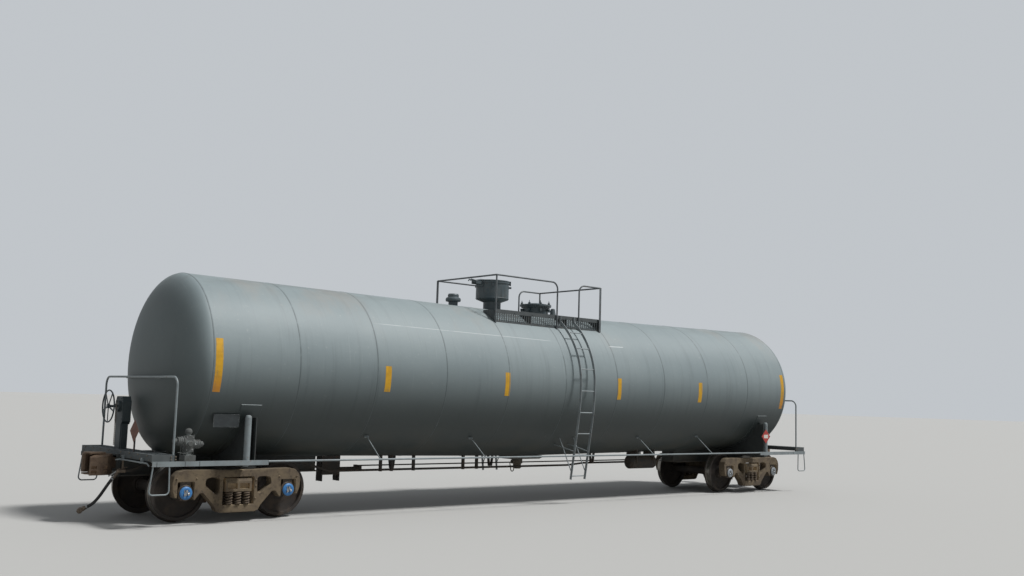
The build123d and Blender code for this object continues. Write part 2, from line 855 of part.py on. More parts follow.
def coupler():
    """Coupler body: shank, head with pocketed guard arm, lock lugs, knuckle pin and shelves."""
    z = coupler_height
    low = z - coupler_half_height
    high = z + coupler_half_height
    root_x = pulling_face - 310
    shank = block(coupler_pin_x, root_x, -shank_half_width, shank_half_width, z - shank_half_height, z + shank_half_height)
    shank = shank + rod_z(coupler_pin_x, 0, z - shank_half_height, z + shank_half_height, 95)
    shank = shank - rod_z(coupler_pin_x, 0, z - 300, z + 300, coupler_pin_radius + running_gap)
    guard = [(-75, 110), (-15, 176), (60, 226), (56, 256), (-60, 252), (-230, 206)]
    head = [(-330, -100), (-245, -196), (-120, -206), (-85, -186), (-85, 30)] + guard + [(-330, 100)]
    body = plate_xy(from_face(head), low, high)
    body = body + plate_xy(from_face(guard + [(-340, 105), (-330, 60), (-90, 70)]), low - 42, high - 20)
    slope = [(120, high + 1), (300, high + 1), (300, high - 60)]
    body = body - plate_yz(slope, pulling_face - 400, pulling_face + 100)
    body = body + rod_z(knuckle_pin_x, knuckle_pin_y, low, high, knuckle_hub_radius - 4)
    reach = coupler_half_height - 38
    body = body - rod_z(knuckle_pin_x, knuckle_pin_y, z - reach, z + reach, knuckle_hub_radius + 5)
    pin = rod_z(knuckle_pin_x, knuckle_pin_y, low - 14, high + 12, knuckle_pin_radius)
    body = body + pin
    for x, half, depth in ((-195, 32, 186), (-5, 44, 216)):
        for dz in (-130, -60):
            middle = pulling_face + x
            pocket = block(middle - half, middle + half, depth, 300, z + dz - 22, z + dz + 22)
            body = body - pocket
    shelf = from_face([(-210, -60), (85, -40), (95, 120), (50, 205), (-210, 150)])
    root = from_face([(-210, -60), (-97, -55), (-97, 150), (-210, 150)])
    for face in (1, -1):
        near = z + face * coupler_half_height
        body = body + plate_xy(root, near, near + face * 30)
        body = body + plate_xy(shelf, near + face * 8, near + face * 30)
    return shank + body


def knuckle():
    """Knuckle on its upright pin: hub, arm and full height nose."""
    z = coupler_height
    x = knuckle_pin_x
    y = knuckle_pin_y
    outline = [
        (x, y - knuckle_hub_radius),
        (x + 75, y - 52),
        (x + 122, y - 12),
        (x + 143, y + 70),
        (x + 138, y + 108),
        (x + 112, y + 132),
        (x + 65, y + 121),
        (x + 62, y + 52),
        (x + 30, y + 52),
        (x, y + 55),
    ]
    arm = plate_xy(outline, z - coupler_half_height, z + coupler_half_height)
    arm = arm - rod_z(x, y, z + knuckle_hub_half, z + 200, knuckle_hub_radius + 3)
    arm = arm - rod_z(x, y, z - 200, z - knuckle_hub_half, knuckle_hub_radius + 3)
    hub = rod_z(x, y, z - knuckle_hub_half, z + knuckle_hub_half, knuckle_hub_radius)
    return arm + hub - rod_z(x, y, z - 200, z + 200, knuckle_pin_radius + running_gap)


def uncoupling_lever():
    """Bent uncoupling lever under the end beam, with its two hangers."""
    x = platform_end + 34
    points = [
        (x - 10, 1462, 935),
        (x, 1420, 972),
        (x, 330, 972),
        (x + 48, 285, 960),
    ]
    lever = pipe(points, 11, [30, 40])
    for y in (1180, 420):
        lever = lever + block(platform_end, x + 6, y - 9, y + 9, 962, 1040)
        lever = lever + block(x - 15, x + 15, y - 12, y + 12, 957, 987)
    return lever


def pipe_hangers():
    """Straps and struts that carry the pipe and the pull rod under the tank."""
    shapes = []
    for x in (-3590, -3340, -2830, -1610, -1260, 4200):
        side = -mid_pipe_side if x < 1800 else mid_pipe_side
        outer = pipe_radius + 9
        strap = block(x - 20, x + 20, side - outer, side + outer, mid_pipe_height - outer, 1200)
        strap = strap - block(x - 30, x + 30, side - pipe_radius, side + pipe_radius, mid_pipe_height, 1200)
        cut = strap - rod_x(x - 40, x + 40, side, mid_pipe_height, pipe_radius + seat_gap)
        shapes.append(cut - tank_seat)
    for x, lean in ((-3040, 60), (-540, 60), (2500, 60)):
        for face in (-1, 1):
            strut = plate_xz(
                [
                    (x + face * 12, 690),
                    (x + face * 42, 690),
                    (x + face * (42 + lean), 1100),
                    (x + face * (12 + lean), 1100),
                ],
                rod_side - 25,
                rod_side + 25,
            )
            shapes.append(strut - tank_seat - rod_x(x - 200, x + 200, rod_side, rod_height, rod_thickness + seat_gap))
    return shapes


def air_reservoir():
    """Air reservoir slung under the tank at the plain end, with its straps."""
    x0 = 3150.0
    x1 = 4050.0
    y = -330.0
    z = 740.0
    radius = 150.0
    outline = [
        (0, x0),
        (radius - 50, x0 + 6),
        (radius, x0 + 60),
        (radius, x1 - 60),
        (radius - 50, x1 - 6),
        (0, x1),
    ]
    face = make_face(Polyline(*[(x, r, 0) for r, x in outline], close=True))
    shell = Pos(0, y, z) * revolve(face, Axis.X)
    for x in (x0 + 160, x1 - 160):
        shell = shell + (block(x - 20, x + 20, y - radius - 12, y + radius + 12, z - 30, 1300) - tank_seat)
    return [shell]


def brake_cylinder():
    """Brake cylinder with its bracket and lever under the inner end of the brake end's stub sill."""
    x0 = -5000.0
    bracket_low = 505.0
    y = 100.0
    bracket = block(-4760, -4740, -y, y, bracket_low, 1200) + block(-4400, -4380, -y, y, bracket_low, 1200)
    bracket = bracket + block(-4760, -4380, -y, -y + 16, 620, 1200)
    bracket = bracket + block(-4760, -4380, -y, y, 690, 706)
    bracket = (bracket - tank_seat)
    barrel = rod_x(-4740, -4480, 0, 830, 92)
    bracket = bracket + barrel + rod_x(-4480, -4400, 0, 830, 30)
    bracket = bracket + rod_z(-4440, 0, bracket_low + 40, 692, 22)
    return [bracket]


def brake_rods():
    """Pull rods from the brake cylinder's lever out to both trucks."""
    thick_side = 20.0
    thick_height = 715.0
    jaw = -3860.0
    thick = rod_x(-4380, jaw, thick_side, thick_height, 34)
    long = rod_x(jaw, sill_start - 5, rod_side, rod_height, rod_thickness)
    link = block(jaw - 40, jaw + 20, thick_side - 20, rod_side + 20, thick_height - 18, rod_height + 18)
    return [thick + link + long]


def control_valve():
    """Brake control valve on its box beside the end platform: bracket, two portions, ball and handle."""
    top = side_sill_top
    y = -1415.0
    middle = 150.0 - platform_inner + 85
    box = block(middle - 90, middle + 85, -side_sill_outer + 5, -1330, top, top + 90)
    stem = block(middle - 48, middle + 42, y - 50, y + 50, top + 90, top + 140)
    bracket = block(middle - 62, middle + 62, y - 62, y + 62, top + 140, top + 385)
    whole = box + stem + bracket
    portions = [(-1, 300, 60), (1, 255, 64)]
    for face, height, radius in portions:
        start = middle + face * 62
        whole = whole + rod_x(start, start + face * 22, y, top + height, radius + 16)
        whole = whole + rod_x(start, start + face * 120, y, top + height, radius)
        whole = whole + rod_x(start + face * 120, start + face * 165, y, top + height, radius - 20)
    ball = [(0, 385), (34, 385), (34, 402), (48, 418), (54, 444), (48, 470), (30, 490), (0, 497)]
    whole = whole + turned_z([(r, top + h) for r, h in ball], middle, y)
    whole = whole + rod_z(middle + 96, y + 20, top + 250, top + 400, 9)
    return [whole]


hand_brake_y = -450.0
hand_brake_z = 1780.0
hand_wheel_x = platform_end - 22
hand_wheel_radius = 270.0


def hand_brake():
    """Hand brake stand on the end platform: hollow post, gear housing, boss, shaft and chain guide."""
    y = hand_brake_y
    foot = platform_top - 4
    back = platform_inner + 20
    front = back + 140
    neck = hand_brake_z - 290
    post = block(back + 24, front - 16, y - 140, y + 140, foot, neck + 10)
    post = post - block(back, front - 28, y - 128, y + 128, platform_top + 10, neck - 20)
    outline = [
        (y - 165, neck + 50),
        (y - 120, neck),
        (y + 120, neck),
        (y + 165, neck + 50),
        (y + 165, hand_brake_z + 80),
        (y + 110, hand_brake_z + 165),
        (y - 110, hand_brake_z + 165),
        (y - 165, hand_brake_z + 80),
    ]
    house = plate_yz(outline, back, front)
    boss = rod_x(front, front + 34, y, hand_brake_z, 92)
    shaft = rod_x(front + 34, hand_wheel_x - 12, y, hand_brake_z, 20)
    chain = rod_z(front - 12, y + 100, foot, neck + 10, 10)
    return post + house + boss + shaft + chain


def hand_brake_wheel():
    """Hand brake wheel with a round rim, hub and five spokes."""
    y = hand_brake_y
    section = []
    for step in range(8):
        angle = math.radians(22.5 + 45 * step)
        section.append((hand_wheel_radius - 12 + 12 * math.cos(angle), 12 * math.sin(angle)))
    parts = [turned_z(section), Cylinder(34, 40)]
    for step in range(5):
        spoke = Rot(0, 0, 72 * step) * Pos(hand_wheel_radius / 2 - 6, 0, 0) * Box(hand_wheel_radius - 22, 24, 9)
        parts.append(spoke)
    whole = fuse(parts)
    return Pos(hand_wheel_x + 8, y, hand_brake_z) * Rot(0, 90, 0) * whole


def placard_boards():
    """Blank boards: routing board at each near corner and diamond holders on sides and ends."""
    shapes = []
    board = block(7043, 7478, 1310, 1318, 1512, 1716)
    stems = block(7100, 7130, 1120, 1310, 1560, 1590) + block(7390, 7420, 1120, 1310, 1560, 1590)
    board = board + (stems + block(7100, 7420, 1298, 1310, 1556, 1594) - tank_seat)
    shapes.extend([turn(board)])
    side = Pos(truck_x - 70, -bolster_end - 60, 1375) * Rot(90, 0, 0) * Rot(0, 0, 45) * Box(250, 250, 5)
    column_x = truck_x + column_offset
    arm = block(column_x - 15, column_x + 15, -bolster_end - 58, -bolster_end + 15, 1345, 1405)
    arm = arm - rod_z(column_x, -bolster_end + column_radius, 1200, 1500, column_radius + seat_gap)
    plate = side + arm
    shapes.extend([plate, turn(plate)])
    end_board_x = platform_end - 75
    face = Pos(end_board_x, 565, 1417) * Rot(0, 90, 0) * Rot(0, 0, 45) * Box(250, 250, 5)
    stand = block(end_board_x - 25, end_board_x - 2, 555, 575, platform_top - 4, 1417)
    shapes.extend([face + stand, turn(face + stand)])
    return shapes


def wheelset(x):
    """Two wheels and their axle: flange, tapered tread, dished plate and hub on each wheel seat."""
    back = back_to_back / 2
    front = back + rim_width
    tip = axle_height
    throat = back + flange_width
    bore = seat_radius + running_gap
    end = journal_spacing / 2 + journal_length / 2 + 6
    mid_plate = (hub_radius + tread_radius - rim_depth) / 2
    outline = [
        (bore, back - 14),
        (hub_radius - 8, back - 14),
        (hub_radius, back),
        (hub_radius + 20, back + 24),
        (mid_plate, back + plate_dish),
        (tread_radius - rim_depth, back + 52),
        (tread_radius - rim_depth - 8, back + 8),
        (tread_radius - rim_depth + 4, back),
        (tip - 12, back),
        (tip - 3, back + 5),
        (tip, back + 13),
        (tip - 5, back + 24),
        (tread_radius + 5, throat),
        (tread_radius, throat + 12),
        (tread_radius - 5, front - 6),
        (tread_radius - 11, front),
        (tread_radius - rim_depth + 6, front),
        (tread_radius - rim_depth, front - 8),
        (tread_radius - rim_depth - 6, back + 52 + plate_thickness + 14),
        (mid_plate, back + plate_dish + plate_thickness),
        (hub_radius + 14, back + 24 + plate_thickness + 30),
        (hub_radius, front + 12),
        (hub_radius - 8, front + 18),
        (bore, front + 18),
    ]
    bar = [
        (0, 0),
        (axle_radius, 0),
        (axle_radius, back - 60),
        (seat_radius, back - 20),
        (seat_radius, journal_spacing / 2 - journal_length / 2 - 4),
        (journal_radius, journal_spacing / 2 - journal_length / 2 - 2),
        (journal_radius, end),
        (0, end),
    ]
    half = turned_y(bar, x, axle_height)
    return [half + mirror(half, Plane.XZ)] + both_sides(turned_y(outline, x, axle_height))


def end_caps(x):
    """Round bearing end cap on each end of an axle, with its three bolt heads."""
    start = journal_spacing / 2 + journal_length / 2 + 6
    outline = [
        (0, start),
        (cap_radius - 14, start),
        (cap_radius, start + 8),
        (cap_radius, start + 16),
        (cap_radius - 22, start + 28),
        (cap_radius - 42, start + 30),
        (cap_radius - 46, start + 26),
        (0, start + 26),
    ]
    cap = turned_y(outline, x, axle_height)
    for step in range(3):
        angle = math.radians(90 + 120 * step)
        bolt = rod_y(x + 36 * math.cos(angle), start + 20, start + cap_depth - 4, axle_height + 36 * math.sin(angle), 19)
        cap = cap + bolt
    return both_sides(cap)


adapter_half = 84.0
adapter_top = axle_height + 168
frame_inner = 930.0
frame_outer = 1090.0
window_half = 270.0
window_low = 272.0
window_high = 712.0
spring_top = 480.0
edge_round = 9.0
# Half of the side frame's outline: x, z, corner radius
frame_half_points = [
    (0, 818, 0),
    (620, 835, 80),
    (905, 838, 60),
    (1010, 815, 60),
    (1082, 742, 60),
    (1114, 650, 80),
    (1104, 520, 60),
    (1062, 409, 18),
    (1026, 409, 8),
    (1026, adapter_top, 20),
    (752, adapter_top, 20),
    (759, 385, 8),
    (738, 366, 8),
    (655, 470, 20),
    (600, 470, 30),
    (395, 250, 60),
    (360, 180, 40),
    (300, 152, 30),
    (0, 150, 0),
]
# Light hole between window and pedestal: x, z, corner radius
light_hole = [(322, 706, 50), (470, 712, 60), (562, 690, 50), (572, 590, 50), (372, 432, 42), (330, 470, 30)]
window_points = [
    (-window_half, window_low, 14),
    (window_half, window_low, 14),
    (window_half, window_high, 30),
    (-window_half, window_high, 30),
]


def side_frames(x):
    """Cast side frame on each side of a truck, with pedestals, bolster window and light holes."""
    left = [(-px, pz, radius) for px, pz, radius in reversed(frame_half_points[1:-1])]
    body = rounded_plate(frame_half_points + left, frame_inner, frame_outer)
    for face in (-1, 1):
        outline = [(face * px, pz, radius) for px, pz, radius in light_hole]
        body = body - rounded_plate(outline, frame_inner - 1, frame_outer + 1)
    body = body - rounded_plate(window_points, frame_inner - 1, frame_outer + 1)
    body = fillet(body.faces().sort_by(Axis.Y)[-1].edges(), edge_round)
    seat = block(-window_half, window_half, frame_inner - 40, frame_outer - 10, window_low - 24, window_low)
    body = Pos(x, 0, 0) * (body + seat)
    return both_sides(body)


def truck_bolster(x):
    """Truck bolster from side frame to side frame, with centre bowl, side bearings and end pockets."""
    top = sill_bottom - centre_plate_depth
    half = [
        (0, 430),
        (500, 430),
        (frame_inner - 60, spring_top),
        (frame_outer + 5, spring_top),
        (frame_outer + 5, 640),
        (frame_outer - 20, 690),
        (frame_inner - 10, 690),
        (820, 668),
        (260, 668),
        (225, top),
        (0, top),
    ]
    mirrored = [(-y, z) for y, z in reversed(half[1:-1])]
    width = 225.0
    body = plate_yz(half + mirrored, x - width, x + width)
    rim = rod_z(x, 0, top - 20, top + 14, 225) - rod_z(x, 0, top, top + 30, centre_plate_radius + 6)
    body = body + rim
    body = body - rod_z(x, 0, top, top + 60, centre_plate_radius + 6)
    for face in (-1, 1):
        for place in (-1, 1):
            pocket = block(x + place * 20, x + place * 190, face * 1040, face * 1120, 520, 610)
            body = body - pocket
        body = body + block(x - 90, x + 90, face * 575, face * 695, 660, 738)
    return body


def spring_nests(x):
    """Coil spring groups under each bolster end, outer coils shown by their ridges."""
    shapes = []
    turns = 5
    height = spring_top - window_low
    pitch = height / turns
    outline = [(0, window_low)]
    for step in range(turns):
        z = window_low + step * pitch
        outline.append((44, z + 0.001 if step else z))
        outline.append((54, z + pitch * 0.3))
        outline.append((54, z + pitch * 0.7))
    outline.append((44, spring_top))
    outline.append((0, spring_top))
    for side in (-1, 1):
        for dx in (-150, 0, 150):
            for dy in (-55, 60):
                shapes.append(turned_z(outline, x + dx, side * (journal_spacing / 2 + dy)))
    return shapes


def brake_rigging(x):
    """Brake beams, shoes and levers between the wheels of a truck."""
    shapes = []
    shoe_gap = 6.0
    for face in (-1, 1):
        axle = x + face * wheelbase / 2
        ring = rod_y(axle, 727, 805, axle_height, tread_radius + 52) - rod_y(axle, 700, 820, axle_height, tread_radius + shoe_gap)
        back = axle - face * (tread_radius + 60)
        keep = block(back, axle - face * 380, 700, 820, axle_height - 190, axle_height + 90)
        shoe = ring & keep
        beam_x = axle - face * (tread_radius + 72)
        beam = block(beam_x - 24, beam_x + 24, -frame_inner, frame_inner, 400, 448)
        strut = block(beam_x - 20, beam_x + 20, -40, 40, 300, 620)
        group = beam + strut + shoe + mirror(shoe, Plane.XZ)
        shapes.append(group)
    rod = rod_x(x - 340, x + 340, 0, 330, 20)
    shapes[0] = shapes[0] + rod + shapes[1]
    return [shapes[0]]


def bearings(x):
    """Roller bearing cups and the adapters between them and the pedestal roofs."""
    shapes = []
    for face in (-1, 1):
        axle = x + face * wheelbase / 2
        start = journal_spacing / 2 - journal_length / 2
        end = journal_spacing / 2 + journal_length / 2
        cup = turned_y(
            [
                (journal_radius + running_gap, start),
                (bearing_radius - 10, start),
                (bearing_radius, start + 12),
                (bearing_radius, end - 12),
                (bearing_radius - 10, end),
                (journal_radius + running_gap, end),
            ],
            axle,
            axle_height,
        )
        low = axle_height + 82
        adapter = block(axle - adapter_half, axle + adapter_half, start + 16, end - 16, low, adapter_top)
        adapter = adapter - rod_y(axle, start, end, axle_height, bearing_radius + seat_gap)
        shapes.extend(both_sides(cup))
        shapes.extend(both_sides(adapter))
    return shapes


os.makedirs("parts", exist_ok=True)

save("tank", tank())
save("tank_pads", tank_pads())
sill = stub_sill()
save("stub_sill_a", [sill])
save("stub_sill_b", [turn(sill)])
save("body_bolsters", body_bolsters())
platform = end_platform()
save("end_platforms", [platform, turn(platform)])
save("side_sills", side_sills())
save("sill_steps", sill_steps())
end_rail = end_handrail()
save("end_handrails", [end_rail, turn(end_rail)])
save("side_handrails", side_handrails())
save("handrail_braces", handrail_braces())
save("ladder_stiles", ladder_stiles())
save("ladder_rungs", ladder_rungs())
save("top_platform", top_platform())
save("top_handrails", top_handrails())
save("bonnet_housing", bonnet_housing())
save("bonnet_lid", bonnet_lid())
save("loading_valves", loading_valves())
save("manway_nozzle", manway_nozzle())
save("manway_cover", manway_cover())
save("relief_valve", relief_valve())
save("vacuum_valve", vacuum_valve())
save("outlet_valve", outlet_valve())
save("brake_pipe", brake_pipe())
cock = angle_cock()
save("angle_cocks", [cock, turn(cock)])
save("pipe_hangers", pipe_hangers())
save("air_reservoir", air_reservoir())
save("brake_cylinder", brake_cylinder())
save("brake_rods", brake_rods())
save("control_valve", control_valve())
save("hand_brake", [turn(hand_brake())])
save("hand_brake_wheel", [turn(hand_brake_wheel())])
save("placard_boards", placard_boards())
lever = uncoupling_lever()
save("uncoupling_levers", [lever, turn(lever)])
hose = brake_hose()
save("brake_hose_a", [hose])
save("brake_hose_b", [turn(hose)])
hand = gladhand()
save("gladhand_a", [hand])
save("gladhand_b", [turn(hand)])
coupler_body = coupler()
save("coupler_a", [coupler_body])
save("coupler_b", [turn(coupler_body)])
knuckle_body = knuckle()
save("knuckle_a", [knuckle_body])
save("knuckle_b", [turn(knuckle_body)])
for end_name, centre in (("a", truck_x), ("b", -truck_x)):
    save("side_frames_" + end_name, side_frames(centre))
    save("truck_bolster_" + end_name, [truck_bolster(centre)])
    save("springs_" + end_name, spring_nests(centre))
    save("brake_rigging_" + end_name, brake_rigging(centre))
    save("bearings_" + end_name, bearings(centre))
    for number, offset in ((1, wheelbase / 2), (2, -wheelbase / 2)):
        save("wheelset_" + end_name + str(number), wheelset(centre + offset))
        save("end_caps_" + end_name + str(number), end_caps(centre + offset))
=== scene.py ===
import bpy
import json
import math
from mathutils import Matrix, Vector


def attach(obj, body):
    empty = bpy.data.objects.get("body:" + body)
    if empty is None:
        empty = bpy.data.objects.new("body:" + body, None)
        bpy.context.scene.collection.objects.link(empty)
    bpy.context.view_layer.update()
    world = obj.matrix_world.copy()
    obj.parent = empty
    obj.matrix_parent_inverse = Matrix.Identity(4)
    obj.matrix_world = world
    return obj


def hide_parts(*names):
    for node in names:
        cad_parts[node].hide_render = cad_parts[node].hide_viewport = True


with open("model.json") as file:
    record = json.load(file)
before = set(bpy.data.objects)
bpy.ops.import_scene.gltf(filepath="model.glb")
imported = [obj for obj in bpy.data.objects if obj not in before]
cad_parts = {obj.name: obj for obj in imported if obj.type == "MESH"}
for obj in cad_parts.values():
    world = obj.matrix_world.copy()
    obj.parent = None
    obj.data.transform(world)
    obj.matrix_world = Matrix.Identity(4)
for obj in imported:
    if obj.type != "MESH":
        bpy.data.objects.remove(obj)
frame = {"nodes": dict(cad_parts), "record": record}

nodes = frame["nodes"]
scene = bpy.context.scene
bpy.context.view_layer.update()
print("stage: frame loaded")

# Metres: +X is the plain end, -X the hand brake end, and the photo shows the side towards -Y
tank = {"radius": 1.514, "midAxis": 2.417, "rise": math.tan(math.radians(0.72)),  # falls to its middle
        "headStart": 7.62, "ringPitch": 1.524}
truck = {"x": 6.87, "axleOffset": 0.889, "axleZ": 0.4826}
ends = (("a", 1), ("b", -1))
axles = (("1", truck["axleOffset"]), ("2", -truck["axleOffset"]))


# Shader helpers

def paint(code):
    # sRGB hex to Blender's linear colour
    parts = [int(code[i:i + 2], 16) / 255 for i in (1, 3, 5)]
    linear = [p / 12.92 if p <= 0.04045 else ((p + 0.055) / 1.055) ** 2.4 for p in parts]
    return tuple(linear) + (1.0,)


def addNode(tree, kind, inputs=None, **settings):
    node = tree.nodes.new(kind)
    for key, value in settings.items():
        setattr(node, key, value)
    for key, value in (inputs or {}).items():
        if isinstance(value, bpy.types.NodeSocket):
            tree.links.new(value, node.inputs[key])
        else:
            node.inputs[key].default_value = value
    return node


def maths(tree, operation, a, b=0.0, c=0.0):
    return addNode(tree, "ShaderNodeMath", {0: a, 1: b, 2: c}, operation=operation).outputs[0]


def mapped(tree, value, low, high, start=0.0, end=1.0):
    inputs = {"Value": value, "From Min": low, "From Max": high, "To Min": start, "To Max": end}
    return addNode(tree, "ShaderNodeMapRange", inputs, interpolation_type="SMOOTHSTEP").outputs[0]


def mixColour(tree, share, first, second):
    return addNode(tree, "ShaderNodeMix", {0: share, 6: first, 7: second}, data_type="RGBA").outputs[2]


def mixNumber(tree, share, first, second):
    return addNode(tree, "ShaderNodeMix", {0: share, 2: first, 3: second}).outputs[0]


def noiseShare(tree, place, scale, low, high):
    stretched = addNode(tree, "ShaderNodeMapping", {"Vector": place, "Scale": scale}).outputs[0]
    inputs = {"Vector": stretched, "Scale": 1.0, "Detail": 5.0, "Roughness": 0.6}
    return mapped(tree, addNode(tree, "ShaderNodeTexNoise", inputs).outputs["Fac"], low, high)


def tankCoords(tree, place):
    # place along, across and up, and the angle round the tank's sloping axis from its top
    x, y, z = addNode(tree, "ShaderNodeSeparateXYZ", {0: place}).outputs
    axis = maths(tree, "MULTIPLY_ADD", maths(tree, "ABSOLUTE", x), tank["rise"], tank["midAxis"])
    angle = maths(tree, "ARCTAN2", y, maths(tree, "SUBTRACT", z, axis))
    return x, y, z, angle


def layerMask(tree, layer, place, coords):
    # how much of each spot a coat covers, from 0 to 1
    x, y, z, angle = coords
    kind, low, high = layer["kind"], layer.get("low"), layer.get("high")
    if kind == "height":
        return mapped(tree, z, low, high)
    if kind == "along":
        return mapped(tree, maths(tree, "ABSOLUTE", x), low, high)
    if kind == "rings":
        turns = maths(tree, "DIVIDE", x, layer["pitch"])
        away = maths(tree, "ABSOLUTE", maths(tree, "SUBTRACT", turns, maths(tree, "ROUND", turns)))
        away = maths(tree, "MULTIPLY", away, layer["pitch"])
        return mapped(tree, away, layer["width"] * 2, layer["width"] * 0.6)
    if kind == "scratch":
        away = maths(tree, "ABSOLUTE", maths(tree, "SUBTRACT", angle, layer["angle"]))
        line = mapped(tree, away, layer["width"], layer["width"] * 0.4)
        along = maths(tree, "ABSOLUTE", maths(tree, "SUBTRACT", x, layer["middle"]))
        return maths(tree, "MULTIPLY", line, mapped(tree, along, layer["half"], layer["half"] * 0.8))
    if kind == "upward":
        normal = addNode(tree, "ShaderNodeNewGeometry").outputs["Normal"]
        return mapped(tree, addNode(tree, "ShaderNodeSeparateXYZ", {0: normal}).outputs[2], low, high)
    if kind == "edge":
        worn = addNode(tree, "ShaderNodeBevel", {"Radius": layer["reach"]}, samples=4).outputs[0]
        flat = addNode(tree, "ShaderNodeNewGeometry").outputs["Normal"]
        agree = addNode(tree, "ShaderNodeVectorMath", {0: worn, 1: flat}, operation="DOT_PRODUCT")
        return mapped(tree, agree.outputs["Value"], low, high)
    if kind == "crevice":
        dark = addNode(tree, "ShaderNodeAmbientOcclusion", {"Distance": layer["reach"]}, samples=4)
        return mapped(tree, dark.outputs["AO"], low, high, 1.0, 0.0)
    if kind == "tankRuns":
        place = addNode(tree, "ShaderNodeCombineXYZ", {0: x, 1: angle, 2: z}).outputs[0]
    return noiseShare(tree, place, layer["scale"], low, high)


def layeredMaterial(name, look):
    material = bpy.data.materials.new(name)
    material.use_nodes = True
    tree = material.node_tree
    shader = tree.nodes["Principled BSDF"]
    place = addNode(tree, "ShaderNodeTexCoord").outputs["Object"]
    coords = tankCoords(tree, place)
    colour = addNode(tree, "ShaderNodeRGB").outputs[0]
    colour.default_value = paint(look["base"])
    rough, metal = look["rough"], look.get("metal", 0.0)
    for layer in look["layers"]:
        mask = layerMask(tree, layer, place, coords)
        if "within" in layer:
            mask = maths(tree, "MULTIPLY", mask, layerMask(tree, layer["within"], place, coords))
        mask = maths(tree, "MULTIPLY", mask, layer["amount"])
        colour = mixColour(tree, mask, colour, paint(layer["colour"]))
        if "rough" in layer:
            rough = mixNumber(tree, mask, rough, layer["rough"])
        if "metal" in layer:
            metal = mixNumber(tree, mask, metal, layer["metal"])
    tree.links.new(colour, shader.inputs["Base Color"])
    for socket, value in (("Roughness", rough), ("Metallic", metal)):
        if isinstance(value, bpy.types.NodeSocket):
            tree.links.new(value, shader.inputs[socket])
        else:
            shader.inputs[socket].default_value = value
    bumpScale, bumpDepth = look["bump"]
    inputs = {"Vector": place, "Scale": bumpScale, "Detail": 4.0}
    grain = addNode(tree, "ShaderNodeTexNoise", inputs).outputs["Fac"]
    bump = addNode(tree, "ShaderNodeBump", {"Height": grain, "Distance": bumpDepth, "Strength": 1.0})
    tree.links.new(bump.outputs[0], shader.inputs["Normal"])
    return material


# Coats: each look is a base paint with coats over it, and each coat has a mask that says where

def blotches(scale, low, high):
    # patches everywhere, finer with a larger scale, and streaks where the scale differs by direction
    spread = scale if isinstance(scale, tuple) else (scale,) * 3
    return {"kind": "noise", "scale": spread, "low": low, "high": high}


def tankRuns(scale, low, high):
    # streaks that follow the tank's round side down
    return {"kind": "tankRuns", "scale": scale, "low": low, "high": high}


def ramp(kind, low, high):
    # none at low and all at high: by "height", by distance "along" from the middle, or by facing "upward"
    return {"kind": kind, "low": low, "high": high}


def ringStains(width):
    return {"kind": "rings", "pitch": tank["ringPitch"], "width": width}


def scratch(degrees, middle, half, width):
    # one thin line along the tank, its angle counted from the top and its width in radians
    return {"kind": "scratch", "angle": math.radians(degrees), "middle": middle, "half": half, "width": width}


def coat(mask, colour, amount, **more):
    return {**mask, "colour": colour, "amount": amount, **more}


def dust(amount, low=1.3, high=0.2):
    # track dust that thickens towards the rails
    return coat(ramp("height", low, high), "#7A6A55", amount, rough=0.9, within=blotches(3, 0.25, 0.7))


def edgeWear(code, amount, reach=0.008, **more):
    # paint or rust rubbed through on sharp edges, in patches
    edges = {"kind": "edge", "low": 0.985, "high": 0.86, "reach": reach}
    return coat(edges, code, amount, within=blotches(9, 0.4, 0.6), **more)


def creviceShade(code, amount, reach=0.09):
    # dark colour where ambient occlusion finds nearby parts: painted shade in corners and under ledges
    corners = {"kind": "crevice", "low": 0.75, "high": 0.35, "reach": reach}
    return coat(corners, code, amount, rough=0.9)


def plainLook(base, second, rough, metal=0.0, scale=20, extra=()):
    # one paint or metal with fine blotches of a second shade
    return {"base": base, "rough": rough, "metal": metal, "bump": (120, 0.0003),
            "layers": [coat(blotches(scale, 0.4, 0.65), second, 0.7), *extra]}


# Looks

